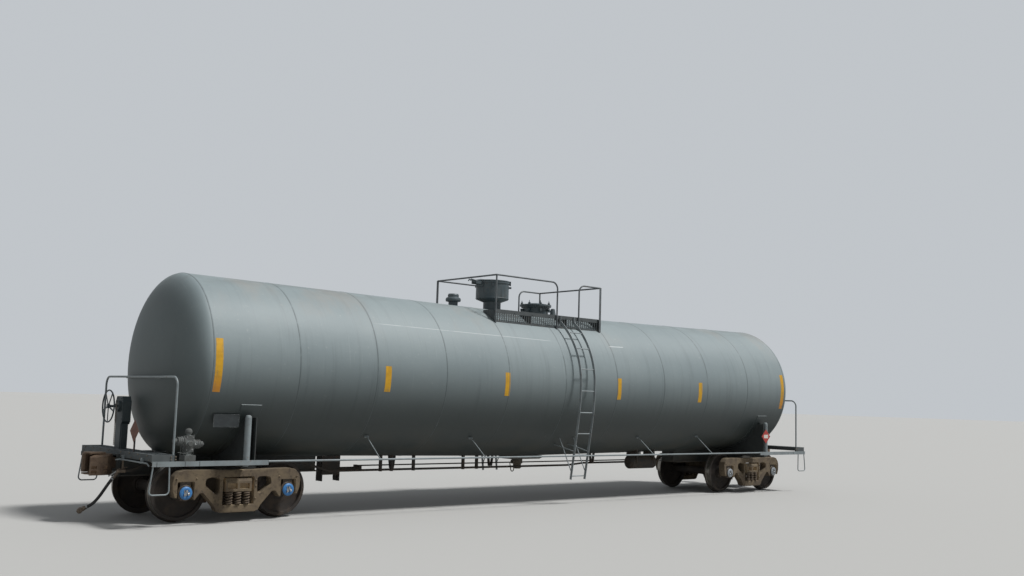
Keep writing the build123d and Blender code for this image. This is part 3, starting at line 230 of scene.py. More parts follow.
tankLook = {  # grey enamel, chalky above, and nearly black below with painted shade and some road dirt
    "base": "#737E80", "rough": 0.6, "bump": (1.6, 0.006),  # the wide bump is the plate's faint waves
    "layers": [
        coat(blotches((0.5, 0.8, 0.8), 0.3, 0.7), "#7E8889", 0.7),  # uneven fading
        coat(tankRuns((9, 0.7, 0.2), 0.5, 0.8), "#5A6365", 0.45, rough=0.5),  # dark rain runs
        coat(tankRuns((24, 1.2, 0.3), 0.6, 0.8), "#99A09F", 0.22),  # pale rain runs
        coat(blotches(14, 0.62, 0.72), "#A5A8A3", 0.18),  # chalk spots
        coat(tankRuns((1.1, 0.8, 0.3), 0.5, 0.72), "#8B8178", 0.35,  # rust haze on the upper side
             within=ramp("height", 2.9, 3.7)),
        coat(ramp("height", 2.95, 1.5), "#202827", 0.92, rough=0.5),  # painted shade that darkens the belly, with some road dirt
        coat(ramp("along", tank["headStart"], 8.0), "#2F3736", 0.65),  # painted shade on the heads, which face away from the sun
        coat(scratch(-54.4, -2.3, 2.3, 0.006), "#C4C9C8", 0.42, within=blotches(3, 0.3, 0.5)),  # long, broken
        coat(scratch(-56, 1.72, 0.24, 0.007), "#D5D9D8", 0.6),  # short and clear
        coat(ramp("height", 1.7, 0.95), "#4C4A42", 0.6, rough=0.7,  # dust thrown up on the belly
             within=blotches((1.5, 1.5, 2), 0.3, 0.7)),
        coat(ringStains(0.011), "#474F50", 0.55, within=blotches((1, 5, 5), 0.25, 0.55)),  # dark ring seams
        coat(ramp("height", 3.75, 3.95), "#5C5F5C", 0.35, within=blotches((2, 4, 4), 0.4, 0.65)),  # top dirt
        coat(tankRuns((60, 2.5, 0.5), 0.69, 0.74), "#C9CCC8", 0.4,  # thin bleached runs in groups
             within=blotches((0.6, 1, 1.6), 0.55, 0.65)),
    ],
}
sillLook = {  # the tank's grey with rust spots and brown dust low down
    "base": "#626A6C", "rough": 0.55, "bump": (60, 0.0006),
    "layers": [
        coat(blotches(3, 0.35, 0.7), "#4F5657", 0.7),
        coat(blotches(22, 0.58, 0.68), "#6B4B35", 0.5, rough=0.85),
        coat(blotches((16, 16, 1.5), 0.55, 0.72), "#4A4A45", 0.45),
        edgeWear("#7C4F34", 0.7),
        # painted shade in the corners
        creviceShade("#2E2B27", 0.6),
        dust(0.55, 1.25, 0.6),
    ],
}
railLook = {  # hand-worn grey bars with rust at the edges
    "base": "#7A8284", "rough": 0.5, "bump": (80, 0.0004),
    "layers": [
        coat(blotches(5, 0.35, 0.7), "#666D6F", 0.7),
        coat(blotches(30, 0.6, 0.68), "#6E4E38", 0.55, rough=0.85),
        edgeWear("#6E4E38", 0.6, 0.004),
    ],
}
walkLook = {  # dark oily grating with bare steel on its edges
    "base": "#3A4043", "rough": 0.7, "bump": (90, 0.0006),
    "layers": [
        coat(blotches(6, 0.35, 0.65), "#4B4F4E", 0.8),
        coat(blotches(26, 0.58, 0.66), "#5A4434", 0.6),
        edgeWear("#8A8F90", 0.5, 0.005, metal=0.5),
    ],
}
housingLook = {  # blue-black enamel with drips down its side
    "base": "#3A474C", "rough": 0.5, "bump": (60, 0.0005),
    "layers": [
        coat(blotches((4, 4, 2), 0.35, 0.65), "#555C5D", 0.7),
        coat(blotches((24, 24, 2), 0.55, 0.7), "#2A2E2F", 0.6),
        coat(blotches(30, 0.6, 0.68), "#6E4E38", 0.5),
    ],
}
truckLook = {  # rough casting under pale brown brake dust, with oil runs, corners darkened with painted shade, and tops paler with settled dust and painted sunlight
    "base": "#96826A", "rough": 0.85, "bump": (70, 0.0015),
    "layers": [
        coat(blotches(5, 0.34, 0.64), "#BFA884", 0.85),
        coat(blotches(18, 0.5, 0.7), "#4C3A2C", 0.6),
        # paler on faces that look up: settled dust, and painted sunlight on the tops
        coat(ramp("upward", 0.3, 0.9), "#B3A082", 0.75),
        coat(blotches((9, 9, 3), 0.62, 0.7), "#2B2723", 0.6, rough=0.5),
        edgeWear("#9A8569", 0.7, 0.012),
        creviceShade("#231E19", 0.75, 0.12),
    ],
}
couplerLook = {  # bare rusty casting, rubbed paler at its edges
    "base": "#7E6650", "rough": 0.8, "bump": (60, 0.0015),
    "layers": [
        coat(blotches(8, 0.35, 0.65), "#A58C72", 0.8),
        coat(blotches(25, 0.5, 0.7), "#40312A", 0.6),
        edgeWear("#A08870", 0.7, 0.01),
        # painted shade in the corners
        creviceShade("#2A1F18", 0.7, 0.06),
    ],
}
wheelLook = {  # dark brown steel with oily patches
    "base": "#332D29", "rough": 0.75, "bump": (50, 0.001),
    "layers": [
        coat(blotches(6, 0.35, 0.65), "#4E4238", 0.7),
        coat(blotches(14, 0.55, 0.7), "#221D19", 0.7, rough=0.5),
        coat(blotches(3, 0.52, 0.68), "#6A5745", 0.5),
        # painted shade in the corners
        creviceShade("#191613", 0.6, 0.08),
    ],
}
brakeLook = {  # almost black iron with rust and dust on top
    "base": "#3B3936", "rough": 0.75, "bump": (60, 0.001),
    "layers": [
        coat(blotches(6, 0.4, 0.65), "#54483C", 0.8),
        coat(blotches(24, 0.55, 0.68), "#6B4832", 0.6),
        coat(ramp("upward", 0.3, 0.9), "#6F6250", 0.5),
        # painted shade in the corners
        creviceShade("#1E1B18", 0.6),
    ],
}
valveLook = {  # pale aluminium-like casting, darkened in its corners with painted shade
    "base": "#8F9594", "rough": 0.55, "bump": (60, 0.0006),
    "layers": [
        coat(blotches(12, 0.4, 0.65), "#6F736F", 0.8),
        coat(blotches(30, 0.58, 0.68), "#5B4A3C", 0.5),
        creviceShade("#2C2B28", 0.8, 0.06),
    ],
}
boardLook = plainLook("#1E2325", "#2A3031", 0.6, 0.0, 12, [edgeWear("#9CA09E", 0.9, 0.007)])  # pale worn rim

looks = {
    "tank_paint": ("fadedTankEnamel", tankLook),
    "sill_paint": ("dustySillEnamel", sillLook),
    "rail_paint": ("handrailEnamel", railLook),
    "walkway_steel": ("dirtyWalkwaySteel", walkLook),
    "housing_paint": ("darkHousingEnamel", housingLook),
    "truck_casting": ("dustyCastSteel", truckLook),
    "coupler_casting": ("rustyCouplerSteel", couplerLook),
    "wheel_steel": ("rustyWheelSteel", wheelLook),
    "spring_steel": ("dustySpringSteel", plainLook("#4A3F34", "#6B5C4A", 0.8)),  # matt brown coils
    "bearing_steel": ("greasyBearingSteel", plainLook("#3B342D", "#5C5042", 0.6, 0.3)),  # dark, oily shine
    "cap_blue": ("blueCapEnamel", plainLook("#2C669C", "#3D7BB0", 0.45, 0.0, 40)),  # bright spots of blue
    "cap_grey": ("greyCapEnamel", plainLook("#83888C", "#A0A4A8", 0.45, 0.2, 40)),  # clean, light grey
    "brake_gear": ("grimyBrakeIron", brakeLook),
    "brake_shoe": ("brownShoeIron", plainLook("#3A2D25", "#5A4536", 0.85)),  # dry brown
    "valve_casting": ("paleValveCasting", valveLook),
    "hose_rubber": ("dullHoseRubber", plainLook("#1D1D1E", "#2E2C2A", 0.75)),  # matt black
    "gladhand_metal": ("wornFittingIron", plainLook("#5B5046", "#86796A", 0.6, 0.4, 30)),  # worn brown
    "valve_metal": ("dullValveBrass", plainLook("#7A6A45", "#5B5240", 0.5, 0.6)),  # tarnished yellow
    "board_paint": ("greyBoardEnamel", boardLook),
    "stand_paint": ("darkStandEnamel", plainLook("#2A3538", "#3A4244", 0.55, 0.0, 8)),  # blue-black
}
materials = {slot: layeredMaterial(name, look) for slot, (name, look) in looks.items()}

stripeDirt = [
    coat(ramp("height", 2.45, 2.08), "#B5602A", 0.45, within=ramp("along", 7.2, 7.4)),  # orange lower halves
    coat(blotches((20, 20, 2), 0.5, 0.7), "#6F6A58", 0.5),
]
# edge wear, with painted shade in the corners; the sill list also has dust
walkWearAndShade = [edgeWear("#8D9293", 0.5, 0.006), creviceShade("#26241F", 0.5)]
sillWearDustAndShade = [edgeWear("#5F4636", 0.5), creviceShade("#1F1D1A", 0.5), dust(0.3, 1.1, 0.6)]
stripeLook = plainLook("#C2920F", "#AD810D", 0.55, 0.0, 9, stripeDirt)
stripeTape = layeredMaterial("yellowReflectiveTape", stripeLook)  # warm yellow, dirty in streaks
walkLookPale = plainLook("#535B5E", "#63696B", 0.65, 0.0, 6, walkWearAndShade)
greyWalkway = layeredMaterial("wornPlatformEnamel", walkLookPale)  # mid grey with pale edges
sillLookDark = plainLook("#394041", "#2C3232", 0.6, 0.0, 5, sillWearDustAndShade)
darkSill = layeredMaterial("shadowBlackSillEnamel", sillLookDark)  # near black as painted shade under the tank, with rusty edges
darkRail = layeredMaterial("darkRailEnamel", {**railLook, "base": "#474B4E"})  # thin dark lines on the sky
paleLadder = layeredMaterial("paleLadderEnamel", {**railLook, "base": "#878E90"})  # lighter than the tank
signRed = layeredMaterial("fadedSignRed", plainLook("#A32A26", "#8B3A32", 0.5))  # the car's one red spot
signWhite = layeredMaterial("fadedSignWhite", plainLook("#C9C6BE", "#AFA9A0", 0.5))  # dusty white
holderPaint = layeredMaterial("rustyHolderRed", plainLook("#5A382D", "#75503F", 0.7))  # dull red-brown
treadSteel = layeredMaterial("polishedTreadSteel", plainLook("#8B8780", "#6A625A", 0.32, 0.85, 12))  # shiny
chainSteel = layeredMaterial("rustyChainSteel", plainLook("#6E6458", "#9A9C98", 0.55, 0.4, 90))  # glints
weldHighlightSteel = layeredMaterial("weldBeadPaintedHighlight", plainLook("#858D8E", "#727A7B", 0.5))  # pale line on the pads' top edges: painted highlight where they catch the light
boltSteel = layeredMaterial("dustyBoltSteel", plainLook("#6B6154", "#4D443A", 0.65, 0.3, 60))  # brown
brightSteel = layeredMaterial("brightBoltSteel", plainLook("#9EA0A0", "#7C7C7A", 0.35, 0.8, 60))  # glints


# Materials on the solids

slotOf = {entry["node"]: entry["material_slot"] for entry in frame["record"]["subparts"]}
for name, piece in nodes.items():
    piece.data.materials.clear()
    piece.data.materials.append(materials[slotOf[name]])

otherFinish = {
    "top_handrails": darkRail, "ladder_stiles": paleLadder, "ladder_rungs": paleLadder,
    # the sills and body bolsters get near-black paint: painted shade under the tank
    "stub_sill_a": darkSill, "stub_sill_b": darkSill, "body_bolsters": darkSill, "end_platforms": greyWalkway,
}
for name, material in otherFinish.items():
    nodes[name].data.materials[0] = material


def secondFinish(name, material, isChosen):
    # the faces that the test picks get another material
    mesh = nodes[name].data
    mesh.materials.append(material)
    for polygon in mesh.polygons:
        if isChosen(mesh, polygon):
            polygon.material_index = 1


toeBoard = {"y": 0.9495, "low": 3.79}
column = {"x": truck["x"] + 0.07, "reach": 0.053, "inner": 1.37, "outer": 1.482, "low": 0.92}
holder = {"sideX": 6.8, "sideReach": 0.2, "sideY": 1.535, "endX": 8.421}
cockBolts = {"x": 8.58, "inner": 0.325, "outer": 0.347, "low": 0.7}
tread = {"inner": 0.7, "outer": 0.83, "radius": 0.43, "agree": 0.9}  # agree: how squarely a face looks out


def isToeBoard(mesh, polygon):
    places = [mesh.vertices[k].co for k in polygon.vertices]
    return all(abs(p.y) > toeBoard["y"] and p.z > toeBoard["low"] for p in places)


def isColumn(mesh, polygon):
    x, y, z = (abs(value) for value in polygon.center)
    inside = column["inner"] < y < column["outer"] and z > column["low"]
    return inside and abs(x - column["x"]) < column["reach"]


def isHolder(mesh, polygon):
    x, y, z = (abs(value) for value in polygon.center)
    atSide = abs(x - holder["sideX"]) < holder["sideReach"] and y > holder["sideY"]
    return atSide or x > holder["endX"]


def isCockBolt(mesh, polygon):
    x, y, z = (abs(value) for value in polygon.center)
    return x > cockBolts["x"] and cockBolts["inner"] < y < cockBolts["outer"] and z > cockBolts["low"]


def treadTest(axleX):
    def isTread(mesh, polygon):
        radial = Vector((polygon.center.x - axleX, 0, polygon.center.z - truck["axleZ"]))
        onTread = all(tread["inner"] < abs(mesh.vertices[k].co.y) < tread["outer"] for k in polygon.vertices)
        facing = polygon.normal.dot(radial.normalized()) > tread["agree"]
        return onTread and radial.length > tread["radius"] and facing
    return isTread


secondFinish("top_platform", greyWalkway, isToeBoard)
secondFinish("body_bolsters", materials["rail_paint"], isColumn)
secondFinish("placard_boards", holderPaint, isHolder)
secondFinish("angle_cocks", brightSteel, isCockBolt)
for end, sign in ends:
    for number, offset in axles:
        secondFinish("wheelset_" + end + number, treadSteel, treadTest(sign * truck["x"] + offset))
print("stage: materials")


# Mesh helpers

def meshOf(name, parts):
    # parts: pairs of points and faces
    points, faces = [], []
    for somePoints, someFaces in parts:
        base = len(points)
        points.extend(tuple(p) for p in somePoints)
        faces.extend(tuple(base + k for k in face) for face in someFaces)
    mesh = bpy.data.meshes.new(name)
    mesh.from_pydata(points, [], faces)
    return mesh


def makePiece(name, parts, body, slot, material=None, smooth=False):
    mesh = meshOf(name, parts)
    mesh.validate()
    mesh.update()
    return adoptMesh(name, mesh, body, slot, material, smooth)


def adoptMesh(name, mesh, body, slot, material=None, smooth=False):
    # the slot's own material, unless another is given
    mesh.materials.clear()
    mesh.materials.append(material or materials[slot])
    for polygon in mesh.polygons:
        polygon.use_smooth = smooth
    piece = bpy.data.objects.new(name, mesh)
    scene.collection.objects.link(piece)
    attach(piece, body)
    return piece


def turned(points, sign):
    # as given for 1, and turned half round the car's middle for -1
    return [Vector((sign * p[0], sign * p[1], p[2])) for p in points]


def axisAt(x):
    return tank["midAxis"] + tank["rise"] * abs(x)


def onTank(x, angle, lift=0.0):
    radius = tank["radius"] + lift
    return Vector((x, radius * math.sin(angle), axisAt(x) + radius * math.cos(angle)))


def angleAt(x, z, side):
    return side * math.acos((z - axisAt(x)) / tank["radius"])


def latheParts(profile, centre, direction, steps):
    # profile: pairs of radius and distance along the direction
    turn = Vector((0, 0, 1)).rotation_difference(Vector(direction).normalized())
    points, faces = [], []
    for radius, along in profile:
        for k in range(steps):
            a = 2 * math.pi * k / steps
            points.append(Vector(centre) + turn @ Vector((radius * math.cos(a), radius * math.sin(a), along)))
    for row in range(len(profile) - 1):
        for k in range(steps):
            n = (k + 1) % steps
            faces.append((row * steps + k, row * steps + n, (row + 1) * steps + n, (row + 1) * steps + k))
    faces.append(tuple(reversed(range(steps))))
    last = (len(profile) - 1) * steps
    faces.append(tuple(last + k for k in range(steps)))
    return points, faces


def boxParts(low, high):
    x0, y0, z0 = low
    x1, y1, z1 = high
    points = [Vector(p) for p in ((x0, y0, z0), (x1, y0, z0), (x1, y1, z0), (x0, y1, z0),
                                  (x0, y0, z1), (x1, y0, z1), (x1, y1, z1), (x0, y1, z1))]
    faces = [(0, 3, 2, 1), (4, 5, 6, 7), (0, 1, 5, 4), (1, 2, 6, 5), (2, 3, 7, 6), (3, 0, 4, 7)]
    return points, faces


def tubeParts(path, radius, sides=10, closed=False):
    points, faces = [], []
    count = len(path)
    for i, place in enumerate(path):
        ahead = path[(i + 1) % count] if closed or i < count - 1 else path[i]
        behind = path[i - 1] if closed or i > 0 else path[i]
        along = (ahead - behind).normalized()
        side = along.cross(Vector((0, 0, 1)) if abs(along.z) < 0.9 else Vector((1, 0, 0))).normalized()
        up = side.cross(along)
        for k in range(sides):
            a = 2 * math.pi * k / sides
            points.append(place + radius * (math.cos(a) * side + math.sin(a) * up))
    for i in range(count if closed else count - 1):
        j = (i + 1) % count
        for k in range(sides):
            n = (k + 1) % sides
            faces.append((i * sides + k, j * sides + k, j * sides + n, i * sides + n))
    if not closed:
        faces.append(tuple(range(sides)))
        faces.append(tuple((count - 1) * sides + k for k in reversed(range(sides))))
    return points, faces


# Repeats by Geometry Nodes

def repeatGroup():
    # a unit on every point, its Z along the point's facing and turned by a random share of Turn
    tree = bpy.data.node_groups.new("repeatOnPoints", "GeometryNodeTree")
    sockets = (("Geometry", "Geometry"), ("Unit", "Object"), ("Size", "Float"), ("Turn", "Float"),
               ("Surface", "Material"))
    for name, kind in sockets:
        tree.interface.new_socket(name, in_out="INPUT", socket_type="NodeSocket" + kind)
    tree.interface.new_socket("Geometry", in_out="OUTPUT", socket_type="NodeSocketGeometry")
    source = addNode(tree, "NodeGroupInput").outputs
    inputs = {"Name": "facing"}
    facing = addNode(tree, "GeometryNodeInputNamedAttribute", inputs, data_type="FLOAT_VECTOR").outputs[0]
    rotation = addNode(tree, "FunctionNodeAlignRotationToVector", {"Vector": facing}, axis="Z").outputs[0]
    inputs = {2: 0.0, 3: source["Turn"], "Seed": 7}
    drawn = addNode(tree, "FunctionNodeRandomValue", inputs, data_type="FLOAT").outputs[1]
    inputs = {"Axis": (0, 0, 1), "Angle": drawn}
    spin = addNode(tree, "FunctionNodeAxisAngleToRotation", inputs).outputs[0]
    inputs = {"Rotation": rotation, "Rotate By": spin}
    turn = addNode(tree, "FunctionNodeRotateRotation", inputs, rotation_space="LOCAL").outputs[0]
    unit = addNode(tree, "GeometryNodeObjectInfo", {"Object": source["Unit"]}).outputs["Geometry"]
    inputs = {"Points": source["Geometry"], "Instance": unit, "Rotation": turn, "Scale": source["Size"]}
    placed = addNode(tree, "GeometryNodeInstanceOnPoints", inputs).outputs[0]
    real = addNode(tree, "GeometryNodeRealizeInstances", {"Geometry": placed}).outputs[0]
    inputs = {"Geometry": real, "Material": source["Surface"]}
    dressed = addNode(tree, "GeometryNodeSetMaterial", inputs).outputs[0]
    addNode(tree, "NodeGroupOutput", {"Geometry": dressed})
    return tree


repeats = repeatGroup()


def unitObject(name, parts, smooth=False):
    mesh = meshOf(name, parts)
    for polygon in mesh.polygons:
        polygon.use_smooth = smooth
    return bpy.data.objects.new(name, mesh)


looseTurn = 1.0  # radians by which bolts and rivets are turned at random, at most


def repeatPiece(name, unit, spots, size, body, slot, material=None, turn=looseTurn):
    # spots: pairs of place and facing direction
    carrier = bpy.data.meshes.new(name + "Spots")
    carrier.from_pydata([tuple(place) for place, facing in spots], [], [])
    facings = carrier.attributes.new("facing", "FLOAT_VECTOR", "POINT")
    facings.data.foreach_set("vector", [value for place, facing in spots for value in facing])
    base = bpy.data.objects.new(name + "Holder", carrier)
    scene.collection.objects.link(base)
    modifier = base.modifiers.new("repeat", "NODES")
    modifier.node_group = repeats
    values = {"Unit": unit, "Size": size, "Turn": turn, "Surface": material or materials[slot]}
    for item in repeats.interface.items_tree:
        if item.in_out == "INPUT" and item.name in values:
            modifier[item.identifier] = values[item.name]
    evaluated = base.evaluated_get(bpy.context.evaluated_depsgraph_get())
    mesh = bpy.data.meshes.new_from_object(evaluated)
    mesh.name = name
    base.modifiers.remove(modifier)
    bpy.data.objects.remove(base)
    smooth = unit.data.polygons[0].use_smooth
    return adoptMesh(name, mesh, body, slot, material, smooth)


hexProfile = [(0.5, 0.0), (0.5, 0.34), (0.42, 0.4)]  # for a width of 1 over the corners
hexBolt = unitObject("hexBoltUnit", [latheParts(hexProfile, (0, 0, 0), (0, 0, 1), steps=6)])
rivetProfile = [(0.5, 0.0), (0.46, 0.16), (0.32, 0.3), (0.12, 0.36)]
rivet = unitObject("rivetUnit", [latheParts(rivetProfile, (0, 0, 0), (0, 0, 1), steps=10)], True)


# Tank dressing

beadShape = [(-1, -0.6), (-0.6, 0.6), (0, 1), (0.6, 0.6), (1, -0.6)]  # across and up, in widths and heights


def ringBeadParts(x, width, height, start=0.0, end=2 * math.pi, steps=120):
    # raised bead round the tank; angles count from its top
    points, faces = [], []
    closed = end - start > 2 * math.pi - 0.01
    for k in range(steps if closed else steps + 1):
        for across, lift in beadShape:
            points.append(onTank(x + across * width, start + (end - start) * k / steps, lift * height))
    count = len(beadShape)
    for k in range(steps):
        n = (k + 1) % steps if closed else k + 1
        for i in range(count - 1):
            faces.append((k * count + i, k * count + i + 1, n * count + i + 1, n * count + i))
    return points, faces


def lineBeadParts(x0, x1, angle, width, height, rows=8):
    # raised bead along the tank at one angle
    points, faces = [], []
    for k in range(rows + 1):
        for across, lift in beadShape:
            x = x0 + (x1 - x0) * k / rows
            points.append(onTank(x, angle + across * width / tank["radius"], lift * height))
    count = len(beadShape)
    for k in range(rows):
        for i in range(count - 1):
            faces.append((k * count + i, (k + 1) * count + i, (k + 1) * count + i + 1, k * count + i + 1))
    return points, faces


weld = {"width": 0.011, "height": 0.0035, "rings": range(-5, 6),  # counted from the middle
        "seamWidth": 0.009, "seamHeight": 0.003, "seams": range(-5, 5), "seamTurns": (-166, 168)}
pitch = tank["ringPitch"]
beads = [ringBeadParts(pitch * k, weld["width"], weld["height"]) for k in weld["rings"]]
for k in weld["seams"]:
    angle = math.radians(weld["seamTurns"][k % 2])  # lengthwise seams, staggered from course to course
    beads.append(lineBeadParts(pitch * k, pitch * (k + 1), angle, weld["seamWidth"], weld["seamHeight"]))
makePiece("ringWelds", beads, "car", "tank_paint", smooth=True)

padWeld = {"half": 0.178, "reach": math.radians(65), "width": 0.009, "height": 0.008,
           "endGap": 0.006, "topGap": 0.004}
padEnds, padTops = [], []
for sign in (1, -1):
    middle = sign * truck["x"]
    for place in (-1, 1):
        x = middle + place * (padWeld["half"] + padWeld["endGap"])
        low, high = math.pi - padWeld["reach"], math.pi + padWeld["reach"]
        padEnds.append(ringBeadParts(x, padWeld["width"], padWeld["height"], low, high, steps=60))
    for side in (-1, 1):
        angle = math.pi + side * (padWeld["reach"] + padWeld["topGap"])
        x0, x1 = middle - padWeld["half"], middle + padWeld["half"]
        padTops.append(lineBeadParts(x0, x1, angle, padWeld["width"], padWeld["height"]))
makePiece("padWelds", padEnds, "car", "tank_paint", smooth=True)
# the pads' top welds are paler than the tank: a painted highlight
makePiece("padTopWelds", padTops, "car", "tank_paint", weldHighlightSteel, smooth=True)


def tankStrip(x0, x1, z0, z1, side, lift, sink, rows=10):
    # thin tape on the tank's side, its long edges sunk into the tank
    points, faces = [], []
    for k in range(rows + 1):
        for x, raised in ((x0, -sink), (x0, lift), (x1, lift), (x1, -sink)):
            angle = angleAt((x0 + x1) / 2, z0 + (z1 - z0) * k / rows, side)
            points.append(onTank(x, angle, raised))
    for k in range(rows):
        for i in range(3):
            quad = (k * 4 + i, k * 4 + i + 1, k * 4 + 5 + i, k * 4 + 4 + i)
            faces.append(quad if side < 0 else tuple(reversed(quad)))
    return points, faces


stripes = {
    "half": 0.0625, "lift": 0.0012, "sink": 0.002,
    "places": [(-7.53, 2.06, 2.90), (-4.35, 2.15, 2.60), (-1.57, 2.15, 2.60),  # along, from, to
               (1.58, 2.15, 2.60), (4.30, 2.15, 2.60), (7.53, 2.06, 2.90)],
}
tapes = []
for x, z0, z1 in stripes["places"]:
    for side in (-1, 1):
        x0, x1 = x - stripes["half"], x + stripes["half"]
        tapes.append(tankStrip(x0, x1, z0, z1, side, stripes["lift"], stripes["sink"]))
makePiece("reflectiveStripes", tapes, "car", "board_paint", stripeTape)
print("stage: tank dressed")


# Coil springs

coil = {"outer": (0.047, 0.011, 5.5), "inner": (0.026, 0.0075, 7.5),  # radius, wire and turns
        "low": 0.272, "high": 0.48, "inset": 0.6, "steps": 14, "sides": 7, "closing": 0.055,
        "middle": 1.0035, "along": (-0.15, 0, 0.15), "across": (-0.055, 0.06)}


def coilParts(radius, wire, turns):
    low, high = coil["low"] + wire * coil["inset"], coil["high"] - wire * coil["inset"]
    count = int(turns * coil["steps"])
    path = []
    for k in range(count + 1):
        share = k / count
        eased = share - coil["closing"] * math.sin(2 * math.pi * share)  # the end turns lie closer
        a = 2 * math.pi * turns * share
        path.append(Vector((radius * math.cos(a), radius * math.sin(a), low + (high - low) * eased)))
    return tubeParts(path, wire, coil["sides"])


coilUnit = unitObject("coilUnit", [coilParts(*coil["outer"]), coilParts(*coil["inner"])], True)
for end, sign in ends:
    spots, body = [], "truck_" + end
    for side in (-1, 1):
        for dx in coil["along"]:
            for dy in coil["across"]:
                spots.append(((sign * truck["x"] + dx, side * (coil["middle"] + dy), 0), (0, 0, 1)))
    springs = repeatPiece("coilSprings_" + end, coilUnit, spots, 1.0, body, "spring_steel", turn=0.0)
    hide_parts("springs_" + end)
print("stage: springs")


# Bolts on the frame, the top and the valves

def ringOfBolts(centre, axis, radius, count, start=0.0):
    turn = Vector((0, 0, 1)).rotation_difference(Vector(axis))
    spots = []
    for k in range(count):
        a = math.radians(start) + 2 * math.pi * k / count
        offset = turn @ Vector((radius * math.cos(a), radius * math.sin(a), 0))
        spots.append((Vector(centre) + offset, Vector(axis)))
    return spots


frameBolt = {"size": 0.026, "plateX": (8.135, 8.205), "plateY": 1.5, "plateRows": (1.03, 1.07),
             "beamX": 8.5, "beamY": (0.35, 0.7, 1.05, 1.4), "beamRows": ((0, 1.02), (-0.08, 1.08)),
             "strikerX": 8.53, "strikerY": 0.2, "strikerRows": (0.72, 0.745, 0.77)}
oneCorner = []
for x in frameBolt["plateX"]:
    for z in frameBolt["plateRows"]:
        oneCorner.append(((x, frameBolt["plateY"], z), (0, 1, 0)))
for y in frameBolt["beamY"]:
    for dy, z in frameBolt["beamRows"]:
        oneCorner.append(((frameBolt["beamX"], y + dy, z), (1, 0, 0)))
for z in frameBolt["strikerRows"]:
    oneCorner.append(((frameBolt["strikerX"], frameBolt["strikerY"], z), (1, 0, 0)))
frameSpots = []
for sign in (1, -1):
    for place, facing in oneCorner:
        for side in (1, -1):
            pair = [(place[0], side * place[1], place[2]), (facing[0], side * facing[1], facing[2])]
            frameSpots.append(tuple(turned(pair, sign)))
repeatPiece("frameBolts", hexBolt, frameSpots, frameBolt["size"], "car", "sill_paint", boltSteel)

topBolt = {"size": 0.024, "manway": ((0.47, 0, 4.152), 0.305), "relief": ((-1.81, 0, 4.108), 0.128),
           "boardStart": -1.44, "boardStep": 0.48, "boardCount": 7, "boardY": 0.956, "boardZ": 3.82,
           "bracketX": (-1.495, -0.5, 0.5, 1.495), "bracketY": 0.95, "bracketZ": 3.60}
topSpots = ringOfBolts(topBolt["manway"][0], (0, 0, 1), topBolt["manway"][1], 8)
topSpots += ringOfBolts(topBolt["relief"][0], (0, 0, 1), topBolt["relief"][1], 8, 10)
for side in (-1, 1):
    for k in range(topBolt["boardCount"]):
        x = topBolt["boardStart"] + topBolt["boardStep"] * k
        topSpots.append(((x, side * topBolt["boardY"], topBolt["boardZ"]), (0, side, 0)))
    for x in topBolt["bracketX"]:
        topSpots.append(((x, side * topBolt["bracketY"], topBolt["bracketZ"]), (0, side, 0)))
repeatPiece("topBolts", hexBolt, topSpots, topBolt["size"], "car", "walkway_steel")

valve = {  # the control valve: two round portions face along the car, either side of a box
    "x": -7.915, "y": -1.415, "front": -1.477, "portions": ((-1, 1.3, 0.06), (1, 1.255, 0.064)),
    "flange": 0.084, "boltOut": 0.008, "boltSize": 0.015, "boxX": 0.045, "boxRows": (1.17, 1.36),
    "shell": 0.062, "ribs": (0.045, 0.075, 0.105), "plug": 0.227, "coverZ": 1.262,
    "pipeRadius": 0.011, "rodRadius": 0.006,
}
valveSpots = []
for face, z, radius in valve["portions"]:
    centre = (valve["x"] + face * valve["flange"], valve["y"], z)
    valveSpots += ringOfBolts(centre, (face, 0, 0), radius + valve["boltOut"], 6, 30)
for z in valve["boxRows"]:
    for side in (-1, 1):
        valveSpots.append(((valve["x"] + side * valve["boxX"], valve["front"], z), (0, -1, 0)))
repeatPiece("valveBolts", hexBolt, valveSpots, valve["boltSize"], "car", "valve_casting", brightSteel)

fittings = []
for face, z, radius in valve["portions"]:
    rib = [(radius - 0.004, 0), (radius + 0.006, 0.002), (radius + 0.006, 0.012), (radius - 0.004, 0.014)]
    for step in valve["ribs"]:
        centre = (valve["x"] + face * (valve["shell"] + step), valve["y"], z)
        fittings.append(latheParts(rib, centre, (face, 0, 0), steps=24))
    plug = [(0.001, 0), (0.022, 0), (0.022, 0.02), (0.012, 0.026)]
    centre = (valve["x"] + face * valve["plug"], valve["y"], z)
    fittings.append(latheParts(plug, centre, (face, 0, 0), steps=6))
cover = [(0.001, 0), (0.042, 0), (0.046, 0.01), (0.046, 0.034), (0.034, 0.042)]
fittings.append(latheParts(cover, (valve["x"], valve["front"], valve["coverZ"]), (0, -1, 0), steps=20))
for dx, top in ((-0.1, 1.22), (0.1, 1.17)):  # branch pipes that rise and bend to the portions
    bend = ((dx, 0.03, 1.09), (dx, 0.03, top), (dx * 0.95, 0.028, top + 0.03), (dx * 0.7, 0.02, top + 0.045))
    path = [Vector((valve["x"] + x, valve["y"] + y, z)) for x, y, z in bend]
    fittings.append(tubeParts(path, valve["pipeRadius"], sides=8))
rod = ((-0.03, -1.45, 1.14), (-0.03, -1.5, 1.125), (-0.1, -1.512, 1.12), (-0.2, -1.512, 1.135))
path = [Vector((valve["x"] + x, y, z)) for x, y, z in rod]  # release rod
fittings.append(tubeParts(path, valve["rodRadius"], sides=6))
makePiece("valveFittings", fittings, "car", "valve_casting")


# Housing over the loading valves, at the width that the photo shows

